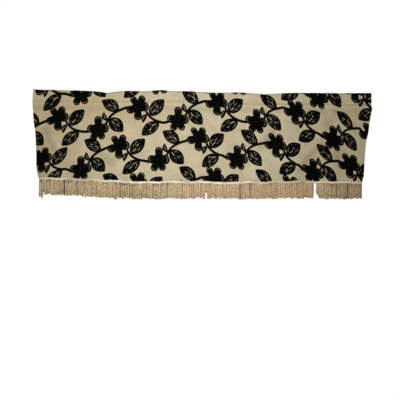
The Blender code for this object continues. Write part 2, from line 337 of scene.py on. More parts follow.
@dataclass(frozen=True)
class Hang:
    """The shape in which the cloth hangs from its rod pocket.

    A place on the cloth is given by `at`, its place across, and `path`, its drop along
    the front. Above the crown's start the path runs on over the fold and down the
    pocket's back, so it falls below zero there.
    """

    ply: float = 1.2
    pocket_seam: float = 46.0
    pocket_turn: float = 66.0
    pocket_gap: float = 16.0
    pocket_full: float = 22.0
    front_share: float = 0.25
    fold_start: float = 40.0
    fold_top_share: float = 0.06
    end_curl: float = 64.0
    end_curl_depth: float = 21.0
    end_curl_fall: float = 300.0
    cloth_end: float = 3.2
    foot_hem: float = 25.0
    side_hem: float = 18.0
    rumple: float = 0.35
    pucker: float = 0.35
    pucker_pitch: float = 17.0
    pucker_fall: float = 13.0
    tape_drop: float = 345.0
    front_end: float = 338.0
    side_hem_end: float = 318.0
    top_line: Line = across(TOP_LINE)
    tape_line: Line = across(TAPE_LINE)
    tip_line: Line = across(TIP_LINE)
    left_edge: Line = across([(edge.drop, edge.left) for edge in SIDE_EDGES])
    right_edge: Line = across([(edge.drop, edge.right) for edge in SIDE_EDGES])

    @property
    def crown(self) -> float:
        """Radius of the fold over the rod."""
        return self.pocket_gap / 2 + self.ply

    @property
    def crown_end(self) -> float:
        """Path at which the crown's back ends."""
        return self.crown * (1.0 - math.pi)

    @property
    def flap_end(self) -> float:
        """Path at which the pocket's back meets the stitch line."""
        return self.crown_end - (self.pocket_seam - self.crown)

    def sides(self, drop: float) -> Place:
        """Where the two side edges stand at a drop."""
        return float(self.left_edge(np.array(drop))), float(self.right_edge(np.array(drop)))

    def foot(self, at: np.ndarray) -> np.ndarray:
        """Drop of the cloth's lower edge."""
        return self.cloth_end - self.tape_line(at)

    def gap(self, drop: np.ndarray) -> np.ndarray:
        """Clear depth of the pocket at a drop."""
        closing = (self.pocket_seam - drop) / (self.pocket_seam - self.pocket_full)
        return self.pocket_gap * np.sin(math.pi / 2 * np.clip(closing, 0.0, 1.0))

    def folds(self, at: np.ndarray, drop: np.ndarray) -> np.ndarray:
        """How far the soft folds carry the cloth back.

        Args:
            at: Places across the valance.
            drop: Drops below the top edge.

        Returns:
            Depths in millimetres.
        """
        start = self.fold_start
        fall = (drop - start) / (-self.tape_line(at) - start)
        opening = self.fold_top_share + (1.0 - self.fold_top_share) * smooth_step(fall)
        depth = np.zeros_like(at)
        for fold in FOLDS:
            middle = fold.at + fold.lean * (1.0 - np.minimum(fall, 1.0))
            depth += fold.depth * np.exp(-(((at - middle) / fold.half) ** 2))
        return depth * opening

    def creases(self, at: np.ndarray, drop: np.ndarray) -> np.ndarray:
        """How far the short creases press the cloth back.

        Args:
            at: Places across the valance.
            drop: Drops below the top edge.

        Returns:
            Depths in millimetres.
        """
        depth = np.zeros_like(at)
        for crease in CREASES:
            run, fall = crease.at_b - crease.at_a, crease.drop_b - crease.drop_a
            share = ((at - crease.at_a) * run + (drop - crease.drop_a) * fall) / (run**2 + fall**2)
            share = np.clip(share, 0.0, 1.0)
            off_at = at - crease.at_a - share * run
            off_drop = drop - crease.drop_a - share * fall
            depth += crease.depth * np.exp(-(off_at**2 + off_drop**2) / crease.half**2)
        return depth

    def ends(self, at: np.ndarray, drop: np.ndarray) -> np.ndarray:
        """How far the two ends curl back.

        Args:
            at: Places across the valance.
            drop: Drops below the top edge.

        Returns:
            Depths in millimetres.
        """
        inside = np.minimum(at - self.left_edge(drop), self.right_edge(drop) - at)
        curl = np.clip(1.0 - inside / self.end_curl, 0.0, 1.0)
        fall = smooth_step((drop - self.fold_start) / self.end_curl_fall)
        return self.end_curl_depth * curl**2 * fall

    def unevenness(self, at: np.ndarray, drop: np.ndarray) -> np.ndarray:
        """Small rumples all over, and puckers along the two sewn lines.

        Args:
            at: Places across the valance.
            drop: Drops below the top edge.

        Returns:
            Depths in millimetres.
        """
        # Wavelengths in millimetres that never fall into step with each other.
        rumple = np.sin(at / 19.0 + 1.7 * np.sin(drop / 41.0)) * np.sin(drop / 27.0 + at / 63.0)
        rumple += 0.7 * np.sin(at / 11.3 - drop / 17.0 + 2.0 * np.sin(at / 87.0))
        wave = np.sin(2 * math.pi * at / self.pucker_pitch + 2.4 * np.sin(at / 71.0))
        near_seam = np.exp(-(((drop - self.pocket_seam) / self.pucker_fall) ** 2))
        near_tape = np.exp(-(((drop + self.tape_line(at)) / (2 * self.pucker_fall)) ** 2))
        seated = smooth_step((-self.tape_line(at) - 6.0 - drop) / self.pucker_fall)
        small = self.rumple * rumple + self.pucker * wave * (near_seam + near_tape)
        return small * seated * smooth_step((drop - self.pocket_full) / self.pucker_fall)

    def front_y(self, at: np.ndarray, drop: np.ndarray) -> np.ndarray:
        """Y of the cloth's front face.

        Args:
            at: Places across the valance.
            drop: Drops below the top edge.

        Returns:
            Y of the front face, in millimetres.
        """
        y = -self.crown + self.front_share * (self.pocket_gap - self.gap(drop))
        y = y + self.folds(at, drop) + self.creases(at, drop)
        return y + self.ends(at, drop) + self.unevenness(at, drop)

    def drop_of(self, path: np.ndarray) -> np.ndarray:
        """Drop below the top edge of a place on the path.

        Args:
            path: Places along the cloth's path.

        Returns:
            The drops in millimetres.
        """
        turn = np.clip((self.crown - path) / self.crown, 0.0, math.pi)
        over = self.crown * (1.0 - np.sin(turn))
        behind = self.crown + self.crown_end - path
        return np.where(path >= self.crown, path, np.where(path >= self.crown_end, over, behind))

    def skin(self, at: np.ndarray, path: np.ndarray) -> np.ndarray:
        """Points on the cloth's printed side, in millimetres.

        Args:
            at: Places across the valance.
            path: Places along the cloth's path.

        Returns:
            The points as x, y and z.
        """
        drop = self.drop_of(path)
        turn = np.clip((self.crown - path) / self.crown, 0.0, math.pi)
        y = self.front_y(at, drop) + self.crown * (1.0 - np.cos(turn))
        behind = path < self.crown_end
        y += np.where(behind, self.gap(drop) - self.pocket_gap, 0.0)
        fade = 1.0 - smooth_step(drop / self.pocket_turn)
        return np.stack([at, y, self.top_line(at) * fade - drop], axis=-1)

    def outward(self, at: np.ndarray, path: np.ndarray, reach: float = 1.0) -> np.ndarray:
        """Unit vectors that stand up from the printed side.

        Args:
            at: Places across the valance.
            path: Places along the cloth's path.
            reach: How far from each place the slope is taken.

        Returns:
            One vector for each place.
        """
        along = self.skin(at, path + reach) - self.skin(at, path - reach)
        sideways = self.skin(at + reach, path) - self.skin(at - reach, path)
        normal = np.cross(along, sideways)
        return normal / np.linalg.norm(normal, axis=-1, keepdims=True)

    def points(
        self,
        at: np.ndarray,
        path: np.ndarray,
        lift: np.ndarray,
        face: ClothFace = ClothFace.FRONT,
    ) -> np.ndarray:
        """Points that stand off the printed side.

        Args:
            at: Places across the valance.
            path: Places along the cloth's path.
            lift: How far the points stand off the cloth.
            face: The stretch of cloth that the places are on. Past a hem's fold
                they lie on its turned side, at the back.

        Returns:
            The points, in millimetres.
        """
        if face is ClothFace.FOOT_HEM:
            path = 2 * self.foot(at) - path
        elif face is ClothFace.LEFT_HEM:
            at = 2 * self.left_edge(self.drop_of(path)) - at
        elif face is ClothFace.RIGHT_HEM:
            at = 2 * self.right_edge(self.drop_of(path)) - at
        if face is not ClothFace.FRONT:
            lift = -2 * self.ply - lift
        return self.skin(at, path) + self.outward(at, path) * np.asarray(lift)[..., None]

    def outline(self, face: ClothFace, step: float = 8.0, inset: float = 0.4) -> np.ndarray:
        """The edge of one stretch of printed cloth, as (at, path) corners in turn.

        Args:
            face: The stretch of cloth.
            step: Distance between corners.
            inset: How far the edge stays inside the cloth.

        Returns:
            The corners.
        """
        if face is ClothFace.FRONT:
            paths = np.arange(self.flap_end + 2.0, self.front_end, step)
            left = self.left_edge(self.drop_of(paths)) + inset
            right = self.right_edge(self.drop_of(paths)) - inset
            foot_at = np.arange(left[-1], right[-1], step)
            under_tape = -self.tape_line(foot_at)
            return np.concatenate([
                np.stack([left, paths], axis=1),
                np.stack([foot_at, under_tape], axis=1),
                np.stack([right, paths], axis=1)[::-1],
            ])
        if face is ClothFace.FOOT_HEM:
            left, right = self.sides(self.tape_drop)
            at = np.arange(left + 1.0, right, step)
            low = np.stack([at, self.foot(at) + inset], axis=1)
            high = np.stack([at, self.foot(at) + self.foot_hem - inset], axis=1)
            return np.concatenate([low, high[::-1]])
        paths = np.arange(self.pocket_turn + 2.0, self.side_hem_end, step)
        edge = self.left_edge(paths) if face is ClothFace.LEFT_HEM else self.right_edge(paths)
        way = -1.0 if face is ClothFace.LEFT_HEM else 1.0
        near = np.stack([edge + way * inset, paths], axis=1)
        far = np.stack([edge + way * (self.side_hem - inset), paths], axis=1)
        return np.concatenate([near, far[::-1]])


# ---------------------------------------------------------------- node networks
class NodeNet:
    """Adds and joins the nodes of one tree.

    Args:
        tree: The node tree that is filled.
    """

    def __init__(self, tree: bpy.types.NodeTree) -> None:
        """Keep the tree that is filled."""
        self.tree = tree

    def feed(self, socket: Socket, value: object) -> None:
        """Join a socket to another one, or set its value.

        Args:
            socket: The socket.
            value: Another node's socket, or a value.
        """
        if isinstance(value, Socket):
            self.tree.links.new(value, socket)
        else:
            socket.default_value = value

    def add(self, kind: str, inputs: Optional[dict] = None, **settings: object) -> bpy.types.Node:
        """Add a node.

        Args:
            kind: The node's type name.
            inputs: A value or another node's socket for each input, by name or number.
            **settings: The node's own options.

        Returns:
            The new node.
        """
        node = self.tree.nodes.new(kind)
        for name, value in settings.items():
            setattr(node, name, value)
        for key, value in (inputs or {}).items():
            self.feed(node.inputs[key], value)
        return node

    def math(self, operation: str, *values: object) -> Socket:
        """One step of arithmetic on numbers."""
        return self.add("ShaderNodeMath", dict(enumerate(values)), operation=operation).outputs[0]

    def stretch(self, place: Socket, *by: float) -> Socket:
        """A place with its three axes multiplied."""
        return self.add("ShaderNodeVectorMath", {0: place, 1: by}, operation="MULTIPLY").outputs[0]

    def total(self, *parts: tuple[Socket, float]) -> Socket:
        """The sum of several values, each times its weight.

        Args:
            *parts: Each value with its weight.

        Returns:
            The sum.
        """
        value = self.math("MULTIPLY", *parts[-1])
        for part, weight in parts[-2::-1]:
            value = self.math("MULTIPLY_ADD", part, weight, value)
        return value

    def mix(self, share: Socket, one: Socket, other: object) -> Socket:
        """A colour between one and another.

        Args:
            share: How much of the other colour.
            one: The first colour.
            other: The other colour.

        Returns:
            The colour.
        """
        node = self.add("ShaderNodeMix", data_type="RGBA")
        given = {"Factor": share, "A": one, "B": other}
        for socket in node.inputs:
            if socket.enabled and socket.name in given:
                self.feed(socket, given[socket.name])
        return next(socket for socket in node.outputs if socket.enabled)

    def noise(self, place: Socket, scale: float = 1.0, detail: float = 2.0) -> Socket:
        """Soft noise over a place."""
        inputs = {"Vector": place, "Scale": scale, "Detail": detail}
        return self.add("ShaderNodeTexNoise", inputs).outputs["Fac"]

    def tone(self, value: Socket, stops: Sequence[tuple[float, Tone]]) -> Socket:
        """A colour from a ramp with these stops.

        Args:
            value: Place on the ramp, 0 to 1.
            stops: Each stop's position and colour.

        Returns:
            The colour.
        """
        node = self.add("ShaderNodeValToRGB", {"Fac": value})
        elements = node.color_ramp.elements
        while len(elements) < len(stops):
            elements.new(0.5)
        for element, (position, colour) in zip(elements, stops):
            element.position = position
            element.color = colour
        return node.outputs["Color"]

    def ramp(self, value: Socket, low: float, high: float, clamp: bool = True) -> Socket:
        """Spread a value between two limits over 0 to 1."""
        inputs = {"Value": value, "From Min": low, "From Max": high}
        return self.add("ShaderNodeMapRange", inputs, clamp=clamp).outputs["Result"]


class GrowTree(NodeNet):
    """A geometry tree with named sizes and a finish, which ends in plain geometry.

    Args:
        name: The tree's name.
        sizes: Its number inputs by name, with their usual values.
    """

    def __init__(self, name: str, sizes: dict[str, float]) -> None:
        """Make the tree with its inputs and its output."""
        super().__init__(bpy.data.node_groups.new(name, "GeometryNodeTree"))
        interface = self.tree.interface
        interface.new_socket("Geometry", in_out="INPUT", socket_type="NodeSocketGeometry")
        for key, value in sizes.items():
            socket = interface.new_socket(key, in_out="INPUT", socket_type="NodeSocketFloat")
            socket.default_value = value
        interface.new_socket("Finish", in_out="INPUT", socket_type="NodeSocketMaterial")
        interface.new_socket("Geometry", in_out="OUTPUT", socket_type="NodeSocketGeometry")
        self.given = self.add("NodeGroupInput").outputs

    def lines(self) -> Socket:
        """The guide's lines as curves."""
        inputs = {"Mesh": self.given["Geometry"]}
        return self.add("GeometryNodeMeshToCurve", inputs).outputs["Curve"]

    def value(self, name: str) -> Socket:
        """The named value that each point carries."""
        return self.add("GeometryNodeInputNamedAttribute", {"Name": name}).outputs["Attribute"]

    def finish(self, shape: Socket) -> bpy.types.NodeTree:
        """Realize what was made, give it its finish and pass it out.

        Args:
            shape: What was made.

        Returns:
            The finished tree.
        """
        smooth = self.add("GeometryNodeSetShadeSmooth", {"Geometry": shape}).outputs[0]
        real = self.add("GeometryNodeRealizeInstances", {"Geometry": smooth}).outputs[0]
        inputs = {"Geometry": real, "Material": self.given["Finish"]}
        dressed = self.add("GeometryNodeSetMaterial", inputs).outputs[0]
        self.add("NodeGroupOutput", {"Geometry": dressed})
        return self.tree


def rgb(red: int, green: int, blue: int) -> tuple[float, float, float, float]:
    """A colour for a shader from its three printed channels."""
    colour = Color((red / 255, green / 255, blue / 255)).from_srgb_to_scene_linear()
    return (colour.r, colour.g, colour.b, 1.0)


# ---------------------------------------------------------------- making and keeping meshes
def show(name: str, data: bpy.types.ID) -> bpy.types.Object:
    """Put a new object into the scene, at the origin.

    Args:
        name: The object's name.
        data: Its mesh, light or camera.

    Returns:
        The object.
    """
    piece = bpy.data.objects.new(name, data)
    bpy.context.scene.collection.objects.link(piece)
    return piece


def make_piece(
    name: str,
    points: np.ndarray,
    faces: Sequence[Sequence[int]],
    material: bpy.types.Material,
    flat: Optional[np.ndarray] = None,
) -> bpy.types.Object:
    """A mesh object at the origin with its place in its points.

    Args:
        name: The piece's name.
        points: Its points in millimetres.
        faces: Its faces as point numbers.
        material: Its finish.
        flat: Each point's place on the flat cloth, in millimetres, kept as a UV map.

    Returns:
        The new object.
    """
    mesh = bpy.data.meshes.new(name)
    mesh.from_pydata((points * MM).tolist(), [], [list(face) for face in faces])
    if flat is not None:
        layer = mesh.uv_layers.new(name="flat")
        corners = np.empty(len(mesh.loops), dtype=np.int32)
        mesh.loops.foreach_get("vertex_index", corners)
        layer.data.foreach_set("uv", (flat[corners] * MM).astype(np.float32).ravel())
    mesh.materials.append(material)
    mesh.shade_smooth()
    mesh.set_sharp_from_angle(angle=math.radians(SHARP_ANGLE))
    mesh.validate()
    return show(name, mesh)


def keep_value(mesh: bpy.types.Mesh, name: str, values: np.ndarray) -> None:
    """Keep a named value on every point of a mesh."""
    mark = mesh.attributes.new(name, "FLOAT", "POINT")
    mark.data.foreach_set("value", np.asarray(values, dtype=np.float32))


def grow(guide: bpy.types.Object, tree: bpy.types.NodeTree, values: dict) -> bpy.types.Object:
    """Run a geometry tree on a guide and keep what it makes as a plain mesh.

    Args:
        guide: The object that carries the tree, removed afterwards.
        tree: The geometry tree.
        values: The tree's inputs by name.

    Returns:
        A new object with the guide's name.
    """
    modifier = guide.modifiers.new("grow", "NODES")
    modifier.node_group = tree
    for item in tree.interface.items_tree:
        if item.item_type == "SOCKET" and item.in_out == "INPUT" and item.name in values:
            modifier[item.identifier] = values[item.name]
    graph = bpy.context.evaluated_depsgraph_get()
    name = guide.name
    mesh = bpy.data.meshes.new_from_object(guide.evaluated_get(graph))
    bpy.data.objects.remove(guide, do_unlink=True)
    mesh.name = name
    return show(name, mesh)


def guide_lines(name: str, lines: Sequence[np.ndarray], **marks: np.ndarray) -> bpy.types.Object:
    """An object of open lines of points, with named values kept on the points.

    Args:
        name: The object's name.
        lines: Each line's points in millimetres.
        **marks: A value for every point of all the lines.

    Returns:
        The new object.
    """
    mesh = bpy.data.meshes.new(name)
    starts = np.cumsum([0] + [len(line) for line in lines])
    edges = [(i, i + 1) for a, b in zip(starts, starts[1:]) for i in range(a, b - 1)]
    mesh.from_pydata((np.concatenate(lines) * MM).tolist(), edges, [])
    for key, values in marks.items():
        keep_value(mesh, key, values)
    return show(name, mesh)


# ---------------------------------------------------------------- finishes
class FinishNet(NodeNet):
    """The network of one finish around its shader.

    Args:
        name: The finish's name.
        roughness: How rough the surface is.
    """

    def __init__(self, name: str, roughness: float) -> None:
        """Make the material and set how rough it is."""
        self.material = bpy.data.materials.new(name)
        self.material.use_nodes = True
        super().__init__(self.material.node_tree)
        self.give("Roughness", roughness)

    def give(self, name: str, value: object) -> None:
        """Set or feed one of the shader's inputs."""
        self.feed(self.tree.nodes["Principled BSDF"].inputs[name], value)

    def place(self) -> Socket:
        """The place on the object, in metres."""
        return self.add("ShaderNodeTexCoord").outputs["Object"]

    def kept(self, name: str) -> Socket:
        """A named value that the piece's points carry."""
        return self.add("ShaderNodeAttribute", attribute_name=name).outputs["Fac"]

    def bump(self, height: Socket, distance: float, strength: float) -> None:
        """Raise the surface by a height, at most this many metres."""
        inputs = {"Height": height, "Distance": distance, "Strength": strength}
        self.give("Normal", self.add("ShaderNodeBump", inputs).outputs["Normal"])


@dataclass(frozen=True)
class ClothFinish:
    """Natural slubbed cloth, woven one thread over and one under.

    The shade takes a share of the weft, the warp, the clouds, the flecks and the weave.
    """

    light: Tone = rgb(208, 196, 168)
    middle: Tone = rgb(194, 182, 153)
    dark: Tone = rgb(176, 163, 132)
    # Tones painted over the cloth: darker for painted shade at the seam and in the creases, yellower
    # in patches, paler as painted light, grey as painted shade under the pocket.
    darker_tone: Tone = rgb(150, 137, 106)
    yellowed_and_shaded: Tone = rgb(172, 152, 108)
    painted_light_tone: Tone = rgb(220, 210, 184)
    grey_painted_shade: Tone = rgb(152, 148, 132)
    thread: float = 0.85
    weft_grain: Place = (0.035, 0.9)
    warp_grain: Place = (0.9, 0.03)
    cloud_grain: Place = (0.018, 0.022)
    fleck_grain: Place = (0.16, 0.34)
    shade_shares: Tone = (0.42, 0.26, 0.30, 0.26, 0.03)
    roughness: float = 0.92

    def make(self, name: str) -> bpy.types.Material:
        """Build the finish as a material that reads the flat cloth's places.

        Args:
            name: The material's name.

        Returns:
            The material.
        """
        net = FinishNet(name, self.roughness)
        flat = net.add("ShaderNodeUVMap", uv_map="flat").outputs["UV"]
        place = net.stretch(flat, 1 / MM, 1 / MM, 1 / MM)
        axes = net.add("ShaderNodeSeparateXYZ", {0: place}).outputs
        weft = net.noise(net.stretch(place, *self.weft_grain, 1.0))
        warp = net.noise(net.stretch(place, *self.warp_grain, 1.0))
        cloud = net.noise(net.stretch(place, *self.cloud_grain, 1.0), detail=3.0)
        fleck = net.noise(net.stretch(place, *self.fleck_grain, 1.0))
        turns = 2 * math.pi / self.thread
        over, under = (net.math("SINE", net.math("MULTIPLY", axes[axis], turns / 2)) for axis in "XY")
        weave = net.math("MULTIPLY", over, under)
        weft_share, warp_share, cloud_share, fleck_share, weave_share = self.shade_shares
        shade = net.total((weave, weave_share), (fleck, fleck_share), (cloud, cloud_share),
                          (weft, weft_share), (warp, warp_share))
        colour = net.tone(net.ramp(shade, 0.50, 0.74),
                          ((0.0, self.dark), (0.5, self.middle), (1.0, self.light)))
        # Painted shade and a painted highlight along the pocket's seam, wavering across the width.
        level = net.math("ADD", axes["Y"], net.kept("seam_shade_wave"))
        for line in SEAM_SHADE_LINES:
            off = net.math("ABSOLUTE", net.math("ADD", level, line.drop))
            near = net.math("MULTIPLY", net.ramp(off, line.half, 0.0), line.share)
            share = net.math("MULTIPLY", near, net.ramp(fleck, 0.2, 0.6))
            colour = net.mix(share, colour, getattr(self, line.tint.value))
        # Patches of yellowing with painted shade, paler patches of painted light, and painted shade
        # along the creases.
        for value, most, tint in (("aged_and_shaded", 1.0, self.yellowed_and_shaded), ("aged_and_shaded", -1.0, self.painted_light_tone),
                                  ("painted_crease_shade", 1.0, self.darker_tone)):
            colour = net.mix(net.ramp(net.kept(value), 0.0, most), colour, tint)
        net.give("Base Color", colour)
        net.bump(net.total((weave, 0.35), (weft, 0.8), (warp, 0.6)), 0.00025, 0.8)
        net.give("Sheen Weight", 0.12)
        net.give("Sheen Roughness", 0.6)
        return net.material


@dataclass(frozen=True)
class FlockFinish:
    """Black flock: short upright fibres that drink the light."""

    deep: Tone = rgb(2, 2, 2)
    worn: Tone = rgb(34, 35, 30)
    fibre: float = 0.45
    wear_scale: float = 160.0
    roughness: float = 0.95

    def make(self, name: str) -> bpy.types.Material:
        """Build the finish as a material.

        Args:
            name: The material's name.

        Returns:
            The material.
        """
        net = FinishNet(name, self.roughness)
        fibres = net.noise(net.place(), 1 / (self.fibre * MM))
        wear = net.noise(net.place(), self.wear_scale, 3.0)
        mixed = net.total((fibres, 0.35), (wear, 0.65))
        net.give("Base Color", net.tone(net.ramp(mixed, 0.40, 0.72), (
            (0.0, self.deep), (0.40, self.deep), (1.0, self.worn))))
        net.bump(fibres, 0.0003, 0.7)
        net.give("Specular IOR Level", 0.05)
        return net.material


@dataclass(frozen=True)
class CordFinish:
    """Twisted yarn, each cord a little lighter, darker or redder than the next."""

    # The darkest tone is the painted shadow in the partings.
    tones: tuple[Tone, ...] = (
        rgb(34, 26, 16), rgb(126, 107, 75), rgb(183, 163, 127), rgb(218, 201, 164),
        rgb(248, 234, 204))
    reddish: Tone = rgb(232, 190, 160)
    fibre: float = 0.5
    mottle: float = 4.2
    roughness: float = 0.8

    def make(self, name: str) -> bpy.types.Material:
        """Build the finish as a material that reads each cord's own shade and blush.

        Args:
            name: The material's name.

        Returns:
            The material.
        """
        net = FinishNet(name, self.roughness)
        fibres = net.noise(net.stretch(net.place(), 1.0, 1.0, 0.35), 1 / (self.fibre * MM))
        mottle = net.noise(net.stretch(net.place(), 0.5, 1.0, 1.0), 1 / (self.mottle * MM))
        mixed = net.kept("shade")
        for grain, share in ((fibres, 0.20), (mottle, 0.95)):
            mixed = net.math("MULTIPLY_ADD", net.ramp(grain, 0.5, 1.5, False), share, mixed)
        last = len(self.tones) - 1
        shown = net.tone(mixed, [(i / last, tone) for i, tone in enumerate(self.tones)])
        net.give("Base Color", net.mix(net.kept("blush"), shown, self.reddish))
        net.bump(fibres, 0.0004, 0.6)
        net.give("Sheen Weight", 0.06)
        net.give("Specular IOR Level", 0.2)
        return net.material


@dataclass(frozen=True)
class TapeFinish:
    """Ivory ribbed tape, darker and yellower in patches along its length."""

    light: Tone = rgb(249, 243, 232)
    dark: Tone = rgb(206, 196, 174)
    darker_tone: Tone = rgb(184, 168, 134)
    cloud_scale: float = 45.0
    fibre_scale: float = 900.0
    roughness: float = 0.85

    def make(self, name: str) -> bpy.types.Material:
        """Build the finish as a material.

        Args:
            name: The material's name.

        Returns:
            The material.
        """
        net = FinishNet(name, self.roughness)
        cloud = net.noise(net.place(), self.cloud_scale, 3.0)
        fibres = net.noise(net.place(), self.fibre_scale)
        mixed = net.total((fibres, 0.3), (cloud, 0.7))
        shown = net.tone(net.ramp(mixed, 0.34, 0.66), ((0.0, self.dark), (1.0, self.light)))
        net.give("Base Color", net.mix(net.kept("tape_darkening"), shown, self.darker_tone))
        net.bump(fibres, 0.0003, 0.5)
        return net.material


@dataclass
class Finishes:
    """The valance's finishes, made once."""

    cloth: bpy.types.Material
    flock: bpy.types.Material
    cord: bpy.types.Material
    tape: bpy.types.Material
    thread: bpy.types.Material

    @classmethod
    def make(cls) -> "Finishes":
        """Build every finish.

        Returns:
            The finishes.
        """
        thread = TapeFinish(light=rgb(168, 152, 120), dark=rgb(120, 104, 76))
        return cls(
            cloth=ClothFinish().make("slubbed_cloth"),
            flock=FlockFinish().make("black_flock"),
            cord=CordFinish().make("twisted_yarn"),
            tape=TapeFinish().make("ivory_tape"),
            thread=thread.make("sewing_thread"),
        )


# ---------------------------------------------------------------- the cloth panel
@dataclass
class ClothPanel:
    """The cloth with its hems and its rod pocket, as one thin sheet."""

    hang: Hang
    column: float = 4.0
    row: float = 5.0
    hem_step: float = 0.8
    hem_rows: int = 6
    turned_rows: int = 5
    wall_rows: int = 12
    crown_rows: int = 15
    seam_band: float = 1.4
    cut_width: float = 1.37
    cut_length: float = 0.49
    # How much painted shade the creases take for each millimetre of their depth.
    crease_shade_share: float = 0.11
    usual_foot: float = 340.0
    back_shift: Place = (7.0, 3.0)

    def shares(self) -> np.ndarray:
        """Shares of the width at which the sheet has a column of points.

        Returns:
            The shares, from 0 at the left side to 1.
        """
        left, right = self.hang.sides(self.hang.pocket_turn)
        width = right - left
        hem, half_step = self.hang.side_hem, self.hem_step / 2
        edge = [*np.linspace(0.0, hem - half_step, 5), hem + half_step]
        count = round((width - 2 * edge[-1]) / self.column)
        middle = np.linspace(edge[-1], width - edge[-1], count + 1)[1:-1]
        return np.concatenate([edge, middle, width - np.array(edge[::-1])]) / width

    def rows(self) -> tuple[list[tuple[float, float]], list[tuple[float, int]]]:
        """Rows of the sheet from its foot up.

        Returns:
            The rows of the hanging part, as the share of the height from its foot to
            the pocket's turned edge with a drop added, and the rows above it, as the
            path and the number of layers.
        """
        hem, step, turn = self.hang.foot_hem, self.hem_step, self.hang.pocket_turn
        low = [(0.0, -drop) for drop in np.linspace(0.0, hem - step / 2, self.hem_rows)]
        low.append((0.0, -hem - step / 2))
        count = round((self.usual_foot - hem - turn) / self.row)
        for share in np.linspace(0.0, 1.0, count + 1)[1:]:
            low.append((share, (1.0 - share) * -(hem + step / 2) + share * step / 2))
        high = [(turn - step / 2, 2)]
        seam = self.hang.pocket_seam
        high += [(path, 2) for path in np.linspace(turn, seam, self.turned_rows)[1:-1]]
        high += [(seam + self.seam_band, 2), (seam, 1)]
        crown = self.hang.crown
        high += [(path, 1) for path in np.linspace(seam, crown, self.wall_rows)[1:]]
        high += [(path, 1) for path in np.linspace(crown, self.hang.crown_end, self.crown_rows)[1:]]
        back = np.linspace(self.hang.crown_end, self.hang.flap_end, self.wall_rows)
        high += [(path, 1) for path in back[1:-1]]
        return low, high

    def aging_and_shade(self, at: np.ndarray, drop: np.ndarray) -> np.ndarray:
        """How much yellowing and painted shade the cloth takes at each place.

        Args:
            at: Places across the valance.
            drop: Drops below the top edge.

        Returns:
            Shares, below zero where the cloth is painted paler as painted light.
        """
        share = np.zeros_like(at)
        for patch in AGED_AND_SHADED:
            off_at, off_drop = (at - patch.at) / patch.half_at, (drop - patch.drop) / patch.half_drop
            share += patch.share * np.exp(-(off_at**2) - off_drop**2)
        return share

    def build(self, finishes: Finishes) -> bpy.types.Object:
        """Loft the sheet from side to side, the pocket's back joined at its seam.

        Args:
            finishes: The valance's finishes.

        Returns:
            The new piece.
        """
        hang = self.hang
        low, high = self.rows()
        shares = self.shares()
        turn = hang.pocket_turn
        left, right = hang.sides(turn)
        width = right - left
        foot = hang.foot(left + shares * width)
        paths = [foot * (1 - share) + turn * share + drop for share, drop in low]
        paths += [np.full_like(shares, path) for path, _ in high]
        path = np.stack(paths, axis=1)
        drop = hang.drop_of(path)
        left, right = hang.left_edge(drop), hang.right_edge(drop)
        at = left + shares[:, None] * (right - left)
        hem_rows = [2 if -offset < hang.foot_hem and share == 0.0 else 1 for share, offset in low]
        plies = np.array(hem_rows + [count for _, count in high])
        in_side = np.minimum(shares, 1 - shares) * width < hang.side_hem
        layers = np.where(in_side[:, None], 2, plies[None, :])
        outer = hang.points(at, path, np.zeros_like(at))
        inner = hang.points(at, path, -layers * hang.ply)

        columns, rows = at.shape
        seam = len(low) + [count for _, count in high].index(1) - 1
        numbers = np.arange(columns * rows).reshape(columns, rows)
        face_side = np.concatenate([numbers, numbers[:, seam:seam + 1] + columns * rows], axis=1)
        back_side = numbers + columns * rows
        back_side = np.concatenate([back_side, back_side[:, seam + 1:seam + 2]], axis=1)

        def quads(a: np.ndarray, b: np.ndarray, c: np.ndarray, d: np.ndarray) -> list[list[int]]:
            """Four-cornered faces from four arrays of point numbers."""
            return np.stack([a, b, c, d], axis=-1).reshape(-1, 4).tolist()

        one, two = face_side[:-1], face_side[1:]
        faces = quads(one[:, :-1], two[:, :-1], two[:, 1:], one[:, 1:])
        keep = np.arange(rows) != seam
        one, two = back_side[:-1], back_side[1:]
        faces += quads(
            one[:, :-1][:, keep], one[:, 1:][:, keep], two[:, 1:][:, keep], two[:, :-1][:, keep])
        faces += quads(face_side[:-1, 0], back_side[:-1, 0], back_side[1:, 0], face_side[1:, 0])
        for side, way in ((0, 1), (-1, -1)):
            front, back = face_side[side], back_side[side]
            faces += [end[::way] for end in quads(front[:-1], front[1:], back[1:], back[:-1])]

        points = np.concatenate([outer.reshape(-1, 3), inner.reshape(-1, 3)])
        flat = np.stack([at, -path], axis=-1).reshape(-1, 2)
        flat = np.concatenate([flat, flat + self.back_shift])
        panel = make_piece("cloth_panel", points, faces, finishes.cloth, flat)
        # Keep the marks that the finish paints: yellowing with painted shade and light, painted crease
        # shade and the seam lines' waver.
        for name, values in (("aged_and_shaded", self.aging_and_shade(at, drop)),
                             ("painted_crease_shade", self.crease_shade_share * hang.creases(at, drop)),
                             ("seam_shade_wave", across(SEAM_SHADE_WAVE)(at))):
            keep_value(panel.data, name, np.tile(values.ravel(), 2))
        return panel


# ---------------------------------------------------------------- the flock pattern
class Petal(NamedTuple):
    """A petal: which way it points, how far it reaches and its half width."""

    turn: float
    reach: float
    half: float


class Leaf(NamedTuple):
    """A leaf, from its base on the stem to its tip, measured from the flower's middle."""

    base_at: float
    base_drop: float
    tip_at: float
    tip_drop: float
    half: float
    bend: float
    veined: bool


class Vein(NamedTuple):
    """A bare dash in a leaf.

    Its ends are shares along the leaf and across it, then come its half width and how
    far it bows sideways, as a share of the leaf's half width.
    """

    along_a: float
    across_a: float
    along_b: float
    across_b: float
    half: float
    bow: float


